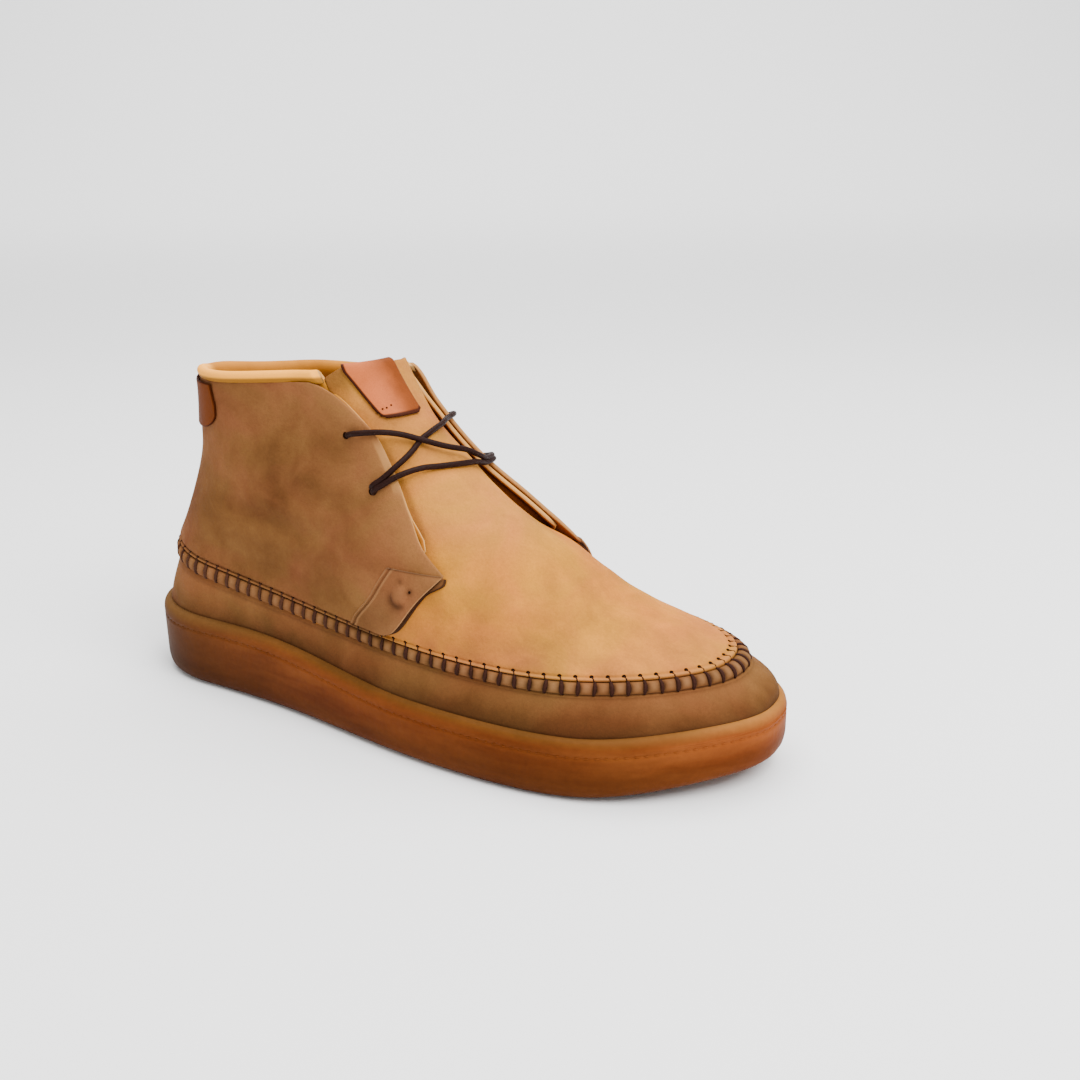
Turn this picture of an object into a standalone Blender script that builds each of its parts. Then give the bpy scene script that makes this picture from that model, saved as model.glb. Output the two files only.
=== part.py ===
"""Ankle-high sneaker boot for the right foot: a lapped leather upper with a sewn rand on a cupsole.

Frame: +X to the toe, -Y to the outer side of the foot, +Z up.  The origin is on the floor, below
the middle of the sole.  Sizes are in millimetres until a mesh is made, in metres.
"""
import math

import bmesh
import bpy
import numpy as np

MM = 0.001

# Driving sizes
LENGTH = 300.0          # sole, heel to toe
BALL_WIDTH = 111.0      # sole, across the ball
SHAFT_HEIGHT = 139.5    # collar at the back of the heel, above the floor
INSTEP_HEIGHT = 147.0   # collar line at the front of the shaft

# Sole
HEEL_RIM = 33.2         # top edge of the sole's side at the heel
WAIST_RIM = 26.0
TOE_RIM = 30.3
RIM_DROP = (0.22, 0.55)  # shares of the length where the rim comes down from the heel
RIM_RISE = (0.78, 1.00)
TOE_SPRING = 7.7
SPRING_FROM = 0.72
SPRING_POWER = 1.5
CUP_DEPTH = 10.0        # recess that the upper stands in
ARCH_HOLLOW = 2.0
ARCH_SPAN = (0.30, 0.40, 0.46, 0.56)

# Walls
GAP = 0.35              # between curved pieces
INSOLE_GAP = 1.6
INSOLE_LEVELS = (0.4, 4.0)  # underside and top, above the floor of the cup
CUP_LIP = 0.6           # the cup opens this far below the rim
SEAM_LEVEL = 30         # height on the last where the rand's raised seam starts
BAND_HEIGHT = 6.5
VAMP_WALL = 1.7
LAP_STEP = 1.3          # the quarters are lapped over the vamp
TONGUE_WALL = 2.0
TAB_WALL = 1.2
PATCH_WALL = 0.8
LACE = 2.8

# The last: level loops, from the cup of the sole to above the collar.  back, front: ends, per
# cent of LENGTH from the heel.  back_z, front_z: per cent of SHAFT_HEIGHT and INSTEP_HEIGHT.
# heel, waist, joint, ball, toe: half widths at STATIONS, per cent of BALL_WIDTH.  sag, back_cap,
# front_cap, drop in mm: dip of the loop's middle, length of its rounded ends, lower inner side.
LEVEL_COLUMNS = ("height", "back", "back_z", "front", "front_z", "sag", "heel", "waist", "joint",
                 "ball", "toe", "back_cap", "front_cap", "swing", "drop")
LEVELS = (
    (0, 1.3, 14.0, 98.7, 13.5, -9.0, 31.6, 33.0, 37.6, 45.6, 29.5, 42, 66, 1.0, 0.0),
    (12, 1.2, 23.8, 98.8, 22.2, -7.0, 31.8, 33.2, 37.9, 46.0, 29.5, 42, 66, 1.0, 0.0),
    (30, 4.6, 41.9, 95.0, 28.9, -8.4, 32.9, 33.8, 34.6, 41.2, 28.8, 38, 70, 1.0, 0.0),
    (37, 4.9, 45.5, 93.0, 31.8, -8.4, 32.4, 33.3, 34.0, 40.2, 29.5, 38, 69, 1.0, 0.0),
    (52, 5.4, 49.2, 85.0, 36.6, -7.4, 31.4, 32.6, 33.3, 38.4, 32.5, 38, 66, 1.0, 0.0),
    (77, 6.9, 56.0, 73.2, 48.6, 0.0, 29.7, 32.0, 32.4, 33.3, 27.9, 40, 50, 0.9, 0.0),
    (102, 8.8, 67.6, 64.4, 62.0, 0.0, 26.6, 30.6, 30.2, 27.9, 24.3, 42, 42, 0.7, 0.6),
    (127, 10.0, 79.2, 55.1, 75.3, 0.0, 24.3, 29.3, 28.8, 25.2, 21.6, 44, 34, 0.5, 1.2),
    (149, 9.6, 90.3, 48.2, 89.3, 0.0, 22.5, 27.4, 26.8, 22.6, 20.7, 44, 30, 0.3, 1.8),
    (165, 9.3, 100.0, 44.7, 100.0, 0.0, 22.3, 27.4, 26.6, 21.7, 19.8, 44, 28, 0.2, 2.4),
    (175, 9.2, 105.5, 42.9, 106.4, 0.0, 22.3, 27.4, 26.6, 21.7, 19.8, 44, 28, 0.2, 2.6),
)
STATIONS = (0.0, 0.22, 0.48, 0.74, 1.0)
WIDTHS = ("heel", "waist", "joint", "ball", "toe")
SOLE_LOOP = {"heel": 35.0, "waist": 36.4, "joint": 41.1, "ball": 49.2, "toe": 32.0,
             "back_cap": 44.0, "front_cap": 66.0}
BACK_ROUND = 2.2
FRONT_ROUND = 2.4
DROP_REACH = 28.0       # from the middle to where the inner side is down by the whole drop

# Columns of points around a full loop, and around each half of the quarters and the vamp
COLUMNS = 68
QUARTER_SHARES = (0, 0.1, 0.2, 0.3, 0.4, 0.5, 0.6, 0.7, 0.78, 0.85, 0.90, 0.94, 0.97, 1)
VAMP_COLUMNS = 30

# Front edges of the quarters, as turns forward from the heel: height, outer, inner
EDGES = (
    (-5, 0.255, 0.300),
    (37, 0.262, 0.315),
    (49, 0.272, 0.332),
    (69, 0.317, 0.383),
    (81, 0.352, 0.415),
    (91, 0.348, 0.404),
    (109, 0.360, 0.400),
    (127, 0.380, 0.400),
    (142, 0.390, 0.400),
    (150, 0.380, 0.397),
    (156.5, 0.366, 0.396),
    (161, 0.350, 0.391),
    (163.5, 0.336, 0.381),
    (165, 0.322, 0.362),
)
TIP_LEVEL = 81          # lower front tips of the quarters; the tongue starts here

# Rings of the upper, from the cup to the collar.  "floor": mm above the cup's floor; "last":
# height on the last; "band": mm above the top of the raised seam.  Then the faces of the quarters,
# the vamp and the lining, in mm out from the last.
RINGS = (
    ("floor", 0.35, -2.95, -3.15, -4.7),
    ("last", 14, -2.95, -3.15, -4.7),
    ("last", 22, -2.95, -3.15, -4.7),
    ("last", 30, -2.95, -3.15, -4.7),
    ("band", -0.4, -2.95, -3.15, -4.7),
    ("band", 1.0, 0.5, -0.5, -3.1),
    ("band", 4.0, 1.3, 0.0, -1.7),
    ("last", 55, 1.3, 0.0, -1.7),
    ("last", 68, 1.3, 0.0, -1.7),
    ("last", 81, 1.3, 0.0, -1.7),
    ("last", 86, 1.3, None, -1.7),
    ("last", 93, 1.3, None, -1.7),
    ("last", 101, 1.3, None, -1.7),
    ("last", 109, 1.3, None, -1.7),
    ("last", 118, 1.3, None, -1.7),
    ("last", 127, 1.3, None, -1.7),
    ("last", 135, 1.3, None, -1.7),
    ("last", 142, 1.3, None, -1.7),
    ("last", 150, 1.3, None, -1.7),
    ("last", 156.5, 1.4, None, -2.2),
    ("last", 161, 1.4, None, -2.9),
    ("last", 163.5, 0.9, None, -3.0),
    ("last", 165, -0.3, None, -2.0),
)
# The same for the rand, around its profile: place, height, face
RAND_PROFILE = (
    ("floor", 0.35, 0.0),
    ("last", 14, 0.0),
    ("last", 22, 0.0),
    ("last", 30, 0.0),
    ("last", 30.6, 0.9),
    ("band", -2.6, 1.4),
    ("band", 0.0, 0.5),
    ("band", 0.0, -0.7),
    ("last", 30, -2.3),
    ("last", 22, -2.3),
    ("last", 14, -2.3),
    ("floor", 0.35, -2.3),
)

# Standoff of the quarters' front edges, which the tongue passes under: height, outer, inner
STANDOFF = (
    (81, 0.0, 0.1),
    (86, 1.9, 1.9),
    (93, 2.2, 2.3),
    (105, 2.4, 2.8),
    (118, 2.5, 2.6),
    (135, 2.3, 2.7),
    (150, 2.2, 2.9),
    (165, 2.0, 3.2),
)
STANDOFF_FROM = 0.86    # share of the way to the front edge where it starts
PADDING_SHARES = (0.78, 0.92)  # the collar's padding thins out between these

# Sides of the tongue, as turns forward from the heel: height, outer, inner
TONGUE_SIDES = (
    (81, 0.3565, 0.4195),
    (85, 0.3545, 0.4160),
    (92, 0.3290, 0.3760),
    (109, 0.3360, 0.3720),
    (127, 0.3530, 0.3740),
    (142, 0.3620, 0.3780),
    (156, 0.3500, 0.3850),
    (165, 0.3500, 0.4000),
    (171.5, 0.3850, 0.4400),
)
TONGUE_RINGS = (86, 93, 101, 109, 118, 127, 135, 142, 150, 158, 165, 171.5)
TONGUE_ACROSS = 18
TONGUE_DIP = 1.3        # its sides lie lower, under the quarters
TONGUE_TUCK = (0.93, 1.0)
TONGUE_START = 0.5      # above the quarters' lower tips

# Hollow in the inner half of the tongue, which leaves the quarter's edge standing clear: height,
# depth
HOLLOWS = (
    (81, 0.0),
    (88, 1.6),
    (96, 3.4),
    (107, 3.9),
    (118, 3.0),
    (130, 1.6),
    (145, 2.2),
    (158, 1.4),
    (171.5, 0.8),
)
HOLLOW_TURNS = (0.47, 0.57)

# Pull tab folded over the top of the tongue: height and face, inside and outside of the leather
TAB_TURNS = (0.405, 0.502)
TAB_FOLD = (
    (149.5, 0.50, 149.5, 1.70),
    (157, 0.45, 157, 1.65),
    (165, 0.45, 165, 1.65),
    (171.2, 0.60, 171.6, 1.75),
    (172.9, -0.20, 174.1, 0.40),
    (173.2, -1.00, 174.8, -1.00),
    (172.9, -1.80, 174.1, -2.40),
    (171.2, -2.60, 171.6, -3.75),
    (163, -2.60, 163, -3.75),
)

# Heel tab on the back of the collar
HEEL_TAB_TURN = 0.172
HEEL_TAB_LOW = 139.5
HEEL_TAB_HIGH = 162.5
HEEL_TAB_ROUND = 13.0
HEEL_TAB_CORNER = 0.6   # share of its half width where the corners start
HEEL_TAB_GAP = 0.5

# Patches over the lower front of the quarters: height, rear edge as turns behind the front edge
PATCH_REAR = (
    (44, 0.032),
    (53, 0.031),
    (68, 0.036),
    (80.5, 0.044),
)
PATCH_MARGIN = 0.003
PATCH_GAP = 0.5

# Lace over the throat, as (turn, height): the bar between the lower eyelets, the length that
# rises under the cross and the one that falls over it
LACE_BAR = ((0.337, 118.2), (0.362, 122.6), (0.387, 126.0), (0.420, 128.7), (0.452, 129.2),
            (0.494, 128.0), (0.545, 125.0), (0.590, 121.4), (0.638, 118.0))
LACE_RISING = ((0.339, 120.4), (0.363, 124.6), (0.381, 128.0), (0.409, 132.8), (0.445, 138.4),
               (0.474, 141.0), (0.525, 143.9), (0.570, 144.3), (0.644, 143.0))
LACE_FALLING = ((0.349, 143.0), (0.392, 143.4), (0.438, 140.8), (0.474, 135.6), (0.503, 131.6),
                (0.524, 128.4), (0.560, 124.8), (0.600, 121.8), (0.640, 120.2))
LACE_CLEAR = 0.55
LACE_LIFT = 0.6         # more, over the inner quarter's edge
LACE_OVER = 2.3
LACE_BRIDGE = 0.455     # turn from either side where it is down on the tongue
LACE_SHAPE = (18, 8)    # lengths along it and sides around it

# Grooves of the tread, from the heel to the toe: middle and slant, in mm
GROOVES = ((-136, 3), (-125, 3), (-114, 3), (-86, -3), (-75, -3), (-64, -3),
           (22, 4), (34, 4), (66, -4), (78, -4), (90, -4), (102, -4), (114, -4))
GROOVE_WIDTH = 3.2
GROOVE_DEPTH = 1.6
GROOVE_MARGIN = 13.0

# Profile of the sole, from underneath to the rim: inset from the outline, and height in mm
# above the ground line (below) or below the rim (above)
SOLE_BELOW = ((9, 0.0), (5, 0.0), (2.2, 1.2), (0.6, 3.6), (0.0, 8.0))
SOLE_ABOVE = ((0.0, 9.0), (0.1, 7.4), (0.7, 6.6), (0.1, 5.8), (0.2, 3.0), (0.9, 0.9), (2.2, 0.0))
ARCH_INSET = 16.0

# Middle line of the sole, which swings to the inner side at the toe: share of length, mm
SWING = ((0.0, 0.30, 0.50, 0.667, 0.833, 1.0), (0.0, -0.7, -4.9, -1.3, 2.3, 7.4))


def natural_curve(knots, values):
    """Return a natural cubic curve through the values at the knots."""
    knots = np.array(knots, float)
    values = np.array(values, float)
    last = len(knots) - 1
    step = np.diff(knots)
    system = np.eye(last + 1)
    right = np.zeros(last + 1)
    for i in range(1, last):
        system[i, i - 1:i + 2] = step[i - 1], 2 * (step[i - 1] + step[i]), step[i]
        right[i] = 6 * ((values[i + 1] - values[i]) / step[i] - (values[i] - values[i - 1]) / step[i - 1])
    bend = np.linalg.solve(system, right)

    def curve(at):
        at = np.asarray(at, float)
        i = np.clip(np.searchsorted(knots, at) - 1, 0, last - 1)
        before = knots[i + 1] - at
        after = at - knots[i]
        cubic = (bend[i] * before ** 3 + bend[i + 1] * after ** 3) / (6 * step[i])
        left = (values[i] / step[i] - bend[i] * step[i] / 6) * before
        return cubic + left + (values[i + 1] / step[i] - bend[i + 1] * step[i] / 6) * after

    return curve


def ease(at, start, end):
    """Rise smoothly from 0 at start to 1 at end."""
    share = np.clip((at - start) / (end - start), 0, 1)
    return share * share * (3 - 2 * share)


def share_of_length(x):
    """Place along the sole, from 0 at the heel to 1 at the toe."""
    return x / LENGTH + 0.5


def end_cap(distance, reach, power):
    """Half width near the end of a loop, from 0 at its tip to 1 at its reach."""
    share = np.clip(distance / reach, 0, 1)
    return (1 - (1 - share) ** power) ** (1 / power)


def level_curves():
    """One curve over the height for each column of the level table, in mm."""
    table = {name: np.array([row[i] for row in LEVELS], float) for i, name in enumerate(LEVEL_COLUMNS)}
    scale = {"back": LENGTH / 100, "front": LENGTH / 100, "back_z": SHAFT_HEIGHT / 100,
             "front_z": INSTEP_HEIGHT / 100}
    scale.update({name: BALL_WIDTH / 100 for name in WIDTHS})
    heights = table.pop("height")
    return {name: natural_curve(heights, column * scale.get(name, 1.0)) for name, column in table.items()}


SWING_LINE = natural_curve(SWING[0], SWING[1])
STATION_CURVES = [natural_curve(STATIONS, row) for row in np.eye(len(STATIONS))]
LEVEL_CURVES = level_curves()


def half_width(along, length, row):
    """Half width of a loop at the share along its length."""
    wide = sum(curve(along) * row[name] for curve, name in zip(STATION_CURVES, WIDTHS))
    wide = wide * end_cap(along * length, row["back_cap"], BACK_ROUND)
    return wide * end_cap((1 - along) * length, row["front_cap"], FRONT_ROUND)


def last_point(turn, height):
    """Point of the last: turn 0 at the heel, 0.25 outer side, 0.5 toe, 0.75 inner side."""
    turn, height = np.broadcast_arrays(np.asarray(turn, float), np.asarray(height, float))
    row = {name: curve(height) for name, curve in LEVEL_CURVES.items()}
    along = (1 - np.cos(2 * np.pi * turn)) / 2
    length = row["front"] - row["back"]
    side = np.where(turn % 1.0 < 0.5, -1.0, 1.0) * half_width(along, length, row)
    x = row["back"] + along * length - LENGTH / 2
    y = row["swing"] * SWING_LINE(share_of_length(x)) + side
    z = row["back_z"] + (row["front_z"] - row["back_z"]) * along + row["sag"] * np.sin(np.pi * along)
    z = z - row["drop"] * np.clip(side / DROP_REACH, 0, 1)
    return np.stack([x, y, z], axis=-1)


def skin_point(turn, height, out=0.0):
    """Point of the last moved out along its normal."""
    turn, height, out = np.broadcast_arrays(*(np.asarray(a, float) for a in (turn, height, out)))
    around = last_point(turn + 0.002, height) - last_point(turn - 0.002, height)
    upward = last_point(turn, height + 0.5) - last_point(turn, height - 0.5)
    normal = np.cross(around, upward)
    normal /= np.linalg.norm(normal, axis=-1, keepdims=True)
    return last_point(turn, height) + normal * out[..., None]


def sole_point(turn, inset=0.0):
    """Point of the sole's outline in plan, moved in by inset."""
    turn, inset = np.broadcast_arrays(np.asarray(turn, float), np.asarray(inset, float))
    row = {name: value * BALL_WIDTH / 100 for name, value in SOLE_LOOP.items() if name in WIDTHS}
    row["back_cap"] = SOLE_LOOP["back_cap"]
    row["front_cap"] = SOLE_LOOP["front_cap"]

    def outline(at):
        along = (1 - np.cos(2 * np.pi * at)) / 2
        side = np.where(at % 1.0 < 0.5, -1.0, 1.0) * half_width(along, LENGTH, row)
        x = (along - 0.5) * LENGTH
        return np.stack([x, SWING_LINE(along) + side], axis=-1)

    way = outline(turn + 0.002) - outline(turn - 0.002)
    way /= np.linalg.norm(way, axis=-1, keepdims=True)
    inward = np.stack([-way[..., 1], way[..., 0]], axis=-1)
    return outline(turn) + inward * inset[..., None]


def rim_height(x):
    """Top edge of the sole's side."""
    share = share_of_length(x)
    drop = (WAIST_RIM - HEEL_RIM) * ease(share, *RIM_DROP)
    return HEEL_RIM + drop + (TOE_RIM - WAIST_RIM) * ease(share, *RIM_RISE)


def floor_height(x):
    """Floor of the cup that the upper stands in."""
    return rim_height(x) - CUP_DEPTH


def ground_height(x):
    """Underside of the sole at its edge: flat, then rising to the toe."""
    return TOE_SPRING * ease(share_of_length(x), SPRING_FROM, 1.0) ** SPRING_POWER


def height_at(turn, surface, above=0.0):
    """Height on the last where each turn's column passes a surface given over x."""
    samples = np.linspace(-2.0, 60.0, 249)
    found = []
    for at in np.atleast_1d(turn):
        column = last_point(at, samples)
        found.append(np.interp(0.0, column[:, 2] - surface(column[:, 0]) - above, samples))
    return np.array(found)


def height_above(turn, start, distance):
    """Height on the last that lies a distance above the start height, along each column."""
    found = []
    for at, low, far in zip(*np.broadcast_arrays(np.atleast_1d(turn), start, distance)):
        samples = low + np.linspace(0.0, 40.0, 161)
        steps = np.linalg.norm(np.diff(last_point(at, samples), axis=0), axis=1)
        found.append(np.interp(far, np.append(0.0, np.cumsum(steps)), samples))
    return np.array(found)


def turn_curve(rows, column):
    """Curve over the height through one column of a short table."""
    return lambda height: np.interp(height, [row[0] for row in rows], [row[column] for row in rows])


OUTER_SIDE = 1
INNER_SIDE = 2
EDGE = {side: turn_curve(EDGES, side) for side in (OUTER_SIDE, INNER_SIDE)}
RISE = {side: turn_curve(STANDOFF, side) for side in (OUTER_SIDE, INNER_SIDE)}
TONGUE_SIDE = {side: turn_curve(TONGUE_SIDES, side) for side in (OUTER_SIDE, INNER_SIDE)}
PATCH_BEHIND = turn_curve(PATCH_REAR, 1)


def side_turn(share, height, edges=None):
    """Turn at a share of the way to the front edge: above 0 outer side, below 0 inner side."""
    edges = edges or EDGE
    forward = np.where(share >= 0, share * edges[OUTER_SIDE](height), share * edges[INNER_SIDE](height))
    return forward % 1.0


def standoff(share, height):
    """Rise of the quarters near their front edges."""
    rise = np.where(share >= 0, RISE[OUTER_SIDE](height), RISE[INNER_SIDE](height))
    return rise * ease(np.abs(share), STANDOFF_FROM, 1.0)


def ring_height(place, at, turn):
    """Height on the last of one ring, for each turn."""
    if place == "floor":
        return height_at(turn, floor_height, at)
    if place == "band":
        return height_above(turn, SEAM_LEVEL, BAND_HEIGHT + at)
    return np.full(len(turn), float(at))


def settled(place, at, turn_from_height):
    """Turns and heights of a ring whose turns depend on its heights."""
    height = np.full(len(turn_from_height(float(SEAM_LEVEL))), 37.0)
    for _ in range(2 if place != "last" else 1):
        height = ring_height(place, at, turn_from_height(height))
    return turn_from_height(height), height


class Net:
    """Points and faces of one closed body."""

    def __init__(self):
        self.points = []
        self.faces = []

    def add(self, grid):
        """Add a grid of points and return their numbers."""
        grid = np.asarray(grid, float)
        numbers = np.arange(grid[..., 0].size).reshape(grid.shape[:-1]) + len(self.points)
        self.points.extend(grid.reshape(-1, 3))
        return numbers

    def quads(self, numbers):
        """Faces over a grid."""
        for low, high in zip(numbers[:-1], numbers[1:]):
            self.strip(low, high)

    def strip(self, low, high):
        """Faces between two rows of the same length."""
        for i in range(len(low) - 1):
            self.faces.append([low[i], low[i + 1], high[i + 1], high[i]])

    def fan(self, corners):
        """Triangles from the first corner to the others."""
        for second, third in zip(corners[1:-1], corners[2:]):
            self.faces.append([corners[0], second, third])

    def ladder(self, ring):
        """Close a ring with faces from its outer side to its inner side."""
        half = len(ring) // 2
        self.faces.append([ring[0], ring[1], ring[-1]])
        for i in range(1, half - 1):
            self.faces.append([ring[i], ring[i + 1], ring[-i - 1], ring[-i]])
        self.faces.append([ring[half - 1], ring[half], ring[half + 1]])

    def slab(self, outer, inner):
        """Two grids joined along their borders."""
        outer = self.add(outer)
        inner = self.add(inner)
        self.quads(outer)
        self.quads(inner)
        for border in (np.s_[0], np.s_[-1], np.s_[:, 0], np.s_[:, -1]):
            self.strip(outer[border], inner[border])

    def piece(self, name, finish):
        """Make the object, in metres, with its faces turned outward."""
        mesh = bpy.data.meshes.new(name)
        faces = [[int(corner) for corner in face] for face in self.faces]
        mesh.from_pydata([tuple(point * MM) for point in self.points], [], faces)
        body = bmesh.new()
        body.from_mesh(mesh)
        bmesh.ops.recalc_face_normals(body, faces=body.faces)
        body.to_mesh(mesh)
        body.free()
        made = bpy.data.objects.new(name, mesh)
        bpy.context.collection.objects.link(made)
        if finish:
            mesh.materials.append(finish)
        return made


def closed(numbers):
    """The grid with its first column again after its last."""
    return np.concatenate([numbers, numbers[:, :1]], axis=1)


def principled(name, colour, roughness):
    """Plain material."""
    finish = bpy.data.materials.new(name)
    finish.use_nodes = True
    shader = finish.node_tree.nodes["Principled BSDF"]
    shader.inputs["Base Color"].default_value = (*colour, 1.0)
    shader.inputs["Roughness"].default_value = roughness
    return finish


def boolean(target, other, operation):
    """Join a hidden body to the target, or cut it out."""
    modifier = target.modifiers.new(other.name, "BOOLEAN")
    modifier.operation = operation
    modifier.solver = "EXACT"
    modifier.object = other
    other.hide_render = True
    other.display_type = "WIRE"


def full_turns():
    """Turns of the columns around a whole loop."""
    return np.arange(COLUMNS) / COLUMNS


def make_grooves():
    """Bars that cut the tread."""
    net = Net()
    for middle, slant in GROOVES:
        turn = math.acos(1 - 2 * share_of_length(middle)) / (2 * math.pi)
        sides = [sole_point(turn, GROOVE_MARGIN)[1], sole_point(1 - turn, GROOVE_MARGIN)[1]]
        lean = (-slant, slant)
        top = ground_height(middle) + GROOVE_DEPTH
        corners = []
        for z in (-GROOVE_DEPTH * 2, top):
            for y, shift in zip(sides, lean):
                corners.append((middle + shift - GROOVE_WIDTH / 2, y, z))
                corners.append((middle + shift + GROOVE_WIDTH / 2, y, z))
        a, b, c, d, e, f, g, h = net.add(np.array(corners))
        net.faces += [[a, b, d, c], [e, g, h, f], [a, e, f, b], [c, d, h, g], [a, c, g, e], [b, f, h, d]]
    return net.piece("tread_grooves", None)


def make_sole(finish):
    """Cupsole: tread, arch, rounded side with a stitch groove, rim and cup."""
    turn = full_turns()
    net = Net()
    rings = []
    flat = sole_point(turn, ARCH_INSET)
    share = share_of_length(flat[:, 0])
    arch = ease(share, *ARCH_SPAN[:2]) - ease(share, *ARCH_SPAN[2:])
    rings.append(np.column_stack([flat, ground_height(flat[:, 0]) + ARCH_HOLLOW * arch]))
    for inset, above in SOLE_BELOW:
        ring = sole_point(turn, inset)
        rings.append(np.column_stack([ring, ground_height(ring[:, 0]) + above]))
    for inset, below in SOLE_ABOVE:
        ring = sole_point(turn, inset)
        rings.append(np.column_stack([ring, rim_height(ring[:, 0]) - below]))
    for below in (CUP_LIP, CUP_DEPTH):
        rings.append(skin_point(turn, height_at(turn, rim_height, -below), GAP))
    numbers = net.add(np.array(rings))
    net.quads(closed(numbers))
    net.ladder(numbers[0])
    net.ladder(numbers[-1])
    sole = net.piece("sole", finish)
    boolean(sole, make_grooves(), "DIFFERENCE")


def make_insole(finish):
    """Footbed on the cup's floor, inside the upper."""
    turn = full_turns()
    net = Net()
    *_, lining = RINGS[0]
    levels = [height_at(turn, floor_height, above) for above in INSOLE_LEVELS]
    rings = [skin_point(turn, level, lining - INSOLE_GAP) for level in levels]
    numbers = net.add(np.array(rings))
    net.quads(closed(numbers))
    net.ladder(numbers[0])
    net.ladder(numbers[-1])
    net.piece("insole", finish)


def make_rand(finish):
    """Wall around the foot, with the raised seam along its top."""
    turn = full_turns()
    net = Net()
    rings = [skin_point(turn, ring_height(place, at, turn), out) for place, at, out in RAND_PROFILE]
    numbers = closed(net.add(np.array(rings)))
    net.quads(np.concatenate([numbers, numbers[:1]]))
    net.piece("rand", finish)


def make_upper(finish):
    """Vamp and lapped quarters as one hollow wall, open at the throat, collar and underneath."""
    shares = np.array([-share for share in QUARTER_SHARES[:0:-1]] + list(QUARTER_SHARES))
    across = np.linspace(0, 1, VAMP_COLUMNS + 1)

    def vamp_turn(height):
        start = EDGE[OUTER_SIDE](height)
        return start + across * (1 - EDGE[INNER_SIDE](height) - start)

    quarter_out, quarter_in, vamp_out, vamp_in = [], [], [], []
    for place, at, quarter, vamp, lining in RINGS:
        turn, height = settled(place, at, lambda level: side_turn(shares, level))
        rise = standoff(shares, height)
        padded = ease(np.abs(shares), *PADDING_SHARES) if height[0] > TIP_LEVEL else 0
        padding = (lining + VAMP_WALL) * padded
        quarter_out.append(skin_point(turn, height, quarter + rise))
        quarter_in.append(skin_point(turn, height, lining - padding + rise))
        if vamp is not None:
            turn, height = settled(place, at, vamp_turn)
            vamp_out.append(skin_point(turn, height, vamp))
            vamp_in.append(skin_point(turn, height, lining)[1:-1])

    net = Net()
    quarter_out = net.add(quarter_out)
    quarter_in = net.add(quarter_in)
    vamp_out = net.add(vamp_out)
    joint = len(vamp_out) - 1
    edges = quarter_in[:joint + 1]
    vamp_in = np.concatenate([edges[:, -1:], net.add(vamp_in), edges[:, :1]], axis=1)
    for grid in (quarter_out, quarter_in, vamp_out, vamp_in):
        net.quads(grid)
    net.strip(quarter_out[-1], quarter_in[-1])
    net.strip(quarter_out[0][1:-1], quarter_in[0][1:-1])
    net.strip(vamp_out[0], vamp_in[0])
    net.strip(vamp_out[joint], vamp_in[joint])
    for edge, beside, vamp_edge in ((-1, -2, 0), (0, 1, -1)):
        outer = quarter_out[:, edge]
        inner = quarter_in[:, edge]
        step = vamp_out[:, vamp_edge]
        net.strip(outer[:joint + 1], step)
        net.strip(outer[joint + 1:], inner[joint + 1:])
        net.fan([outer[joint + 1], inner[joint + 1], inner[joint], step[joint], outer[joint]])
        net.fan([quarter_out[0, beside], outer[0], step[0], inner[0], quarter_in[0, beside]])
    net.piece("upper", finish)


def tongue_face(turn, height):
    """Outer face of the tongue: lower where the quarters cover its sides."""
    edge = np.where(turn < 0.5, EDGE[OUTER_SIDE](height), EDGE[INNER_SIDE](height))
    forward = np.where(turn < 0.5, turn, 1 - turn)
    hollow = turn_curve(HOLLOWS, 1)(height) * ease(turn, *HOLLOW_TURNS)
    return -TONGUE_DIP * (1 - ease(forward / edge, *TONGUE_TUCK)) - hollow


def make_tongue(finish):
    """Tongue from the vamp to above the collar, with its sides under the quarters."""
    across = np.linspace(0, 1, TONGUE_ACROSS + 1)

    def turns(height):
        start = TONGUE_SIDE[OUTER_SIDE](height)
        return start + across * (1 - TONGUE_SIDE[INNER_SIDE](height) - start)

    start = turns(TIP_LEVEL)
    levels = [(start, height_above(start, TIP_LEVEL, TONGUE_START))]
    levels += [(turns(height), np.full(len(across), float(height))) for height in TONGUE_RINGS]
    outer = [skin_point(turn, height, tongue_face(turn, height)) for turn, height in levels]
    inner = [skin_point(turn, height, tongue_face(turn, height) - TONGUE_WALL) for turn, height in levels]
    net = Net()
    net.slab(outer, inner)
    net.piece("tongue", finish)


def make_tongue_tab(finish):
    """Pull tab folded over the top of the tongue."""
    turn = np.linspace(*TAB_TURNS, 7)
    inner = [skin_point(turn, height, out) for height, out, _, _ in TAB_FOLD]
    outer = [skin_point(turn, height, out) for _, _, height, out in TAB_FOLD]
    net = Net()
    net.slab(outer, inner)
    net.piece("tongue_tab", finish)


def make_heel_tab(finish):
    """Tab on the back of the collar, with rounded lower corners."""
    share = np.linspace(-1, 1, 13)
    corner = np.clip((np.abs(share) - HEEL_TAB_CORNER) / (1 - HEEL_TAB_CORNER), 0, 1)
    low = HEEL_TAB_LOW + HEEL_TAB_ROUND * (1 - np.sqrt(1 - corner ** 2))
    turn = (share * HEEL_TAB_TURN) % 1.0
    heights = [low + (HEEL_TAB_HIGH - low) * up for up in np.linspace(0, 1, 4)]
    net = Net()
    face = LAP_STEP + HEEL_TAB_GAP
    net.slab([skin_point(turn, height, face + TAB_WALL) for height in heights],
             [skin_point(turn, height, face) for height in heights])
    net.piece("heel_tab", finish)


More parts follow.
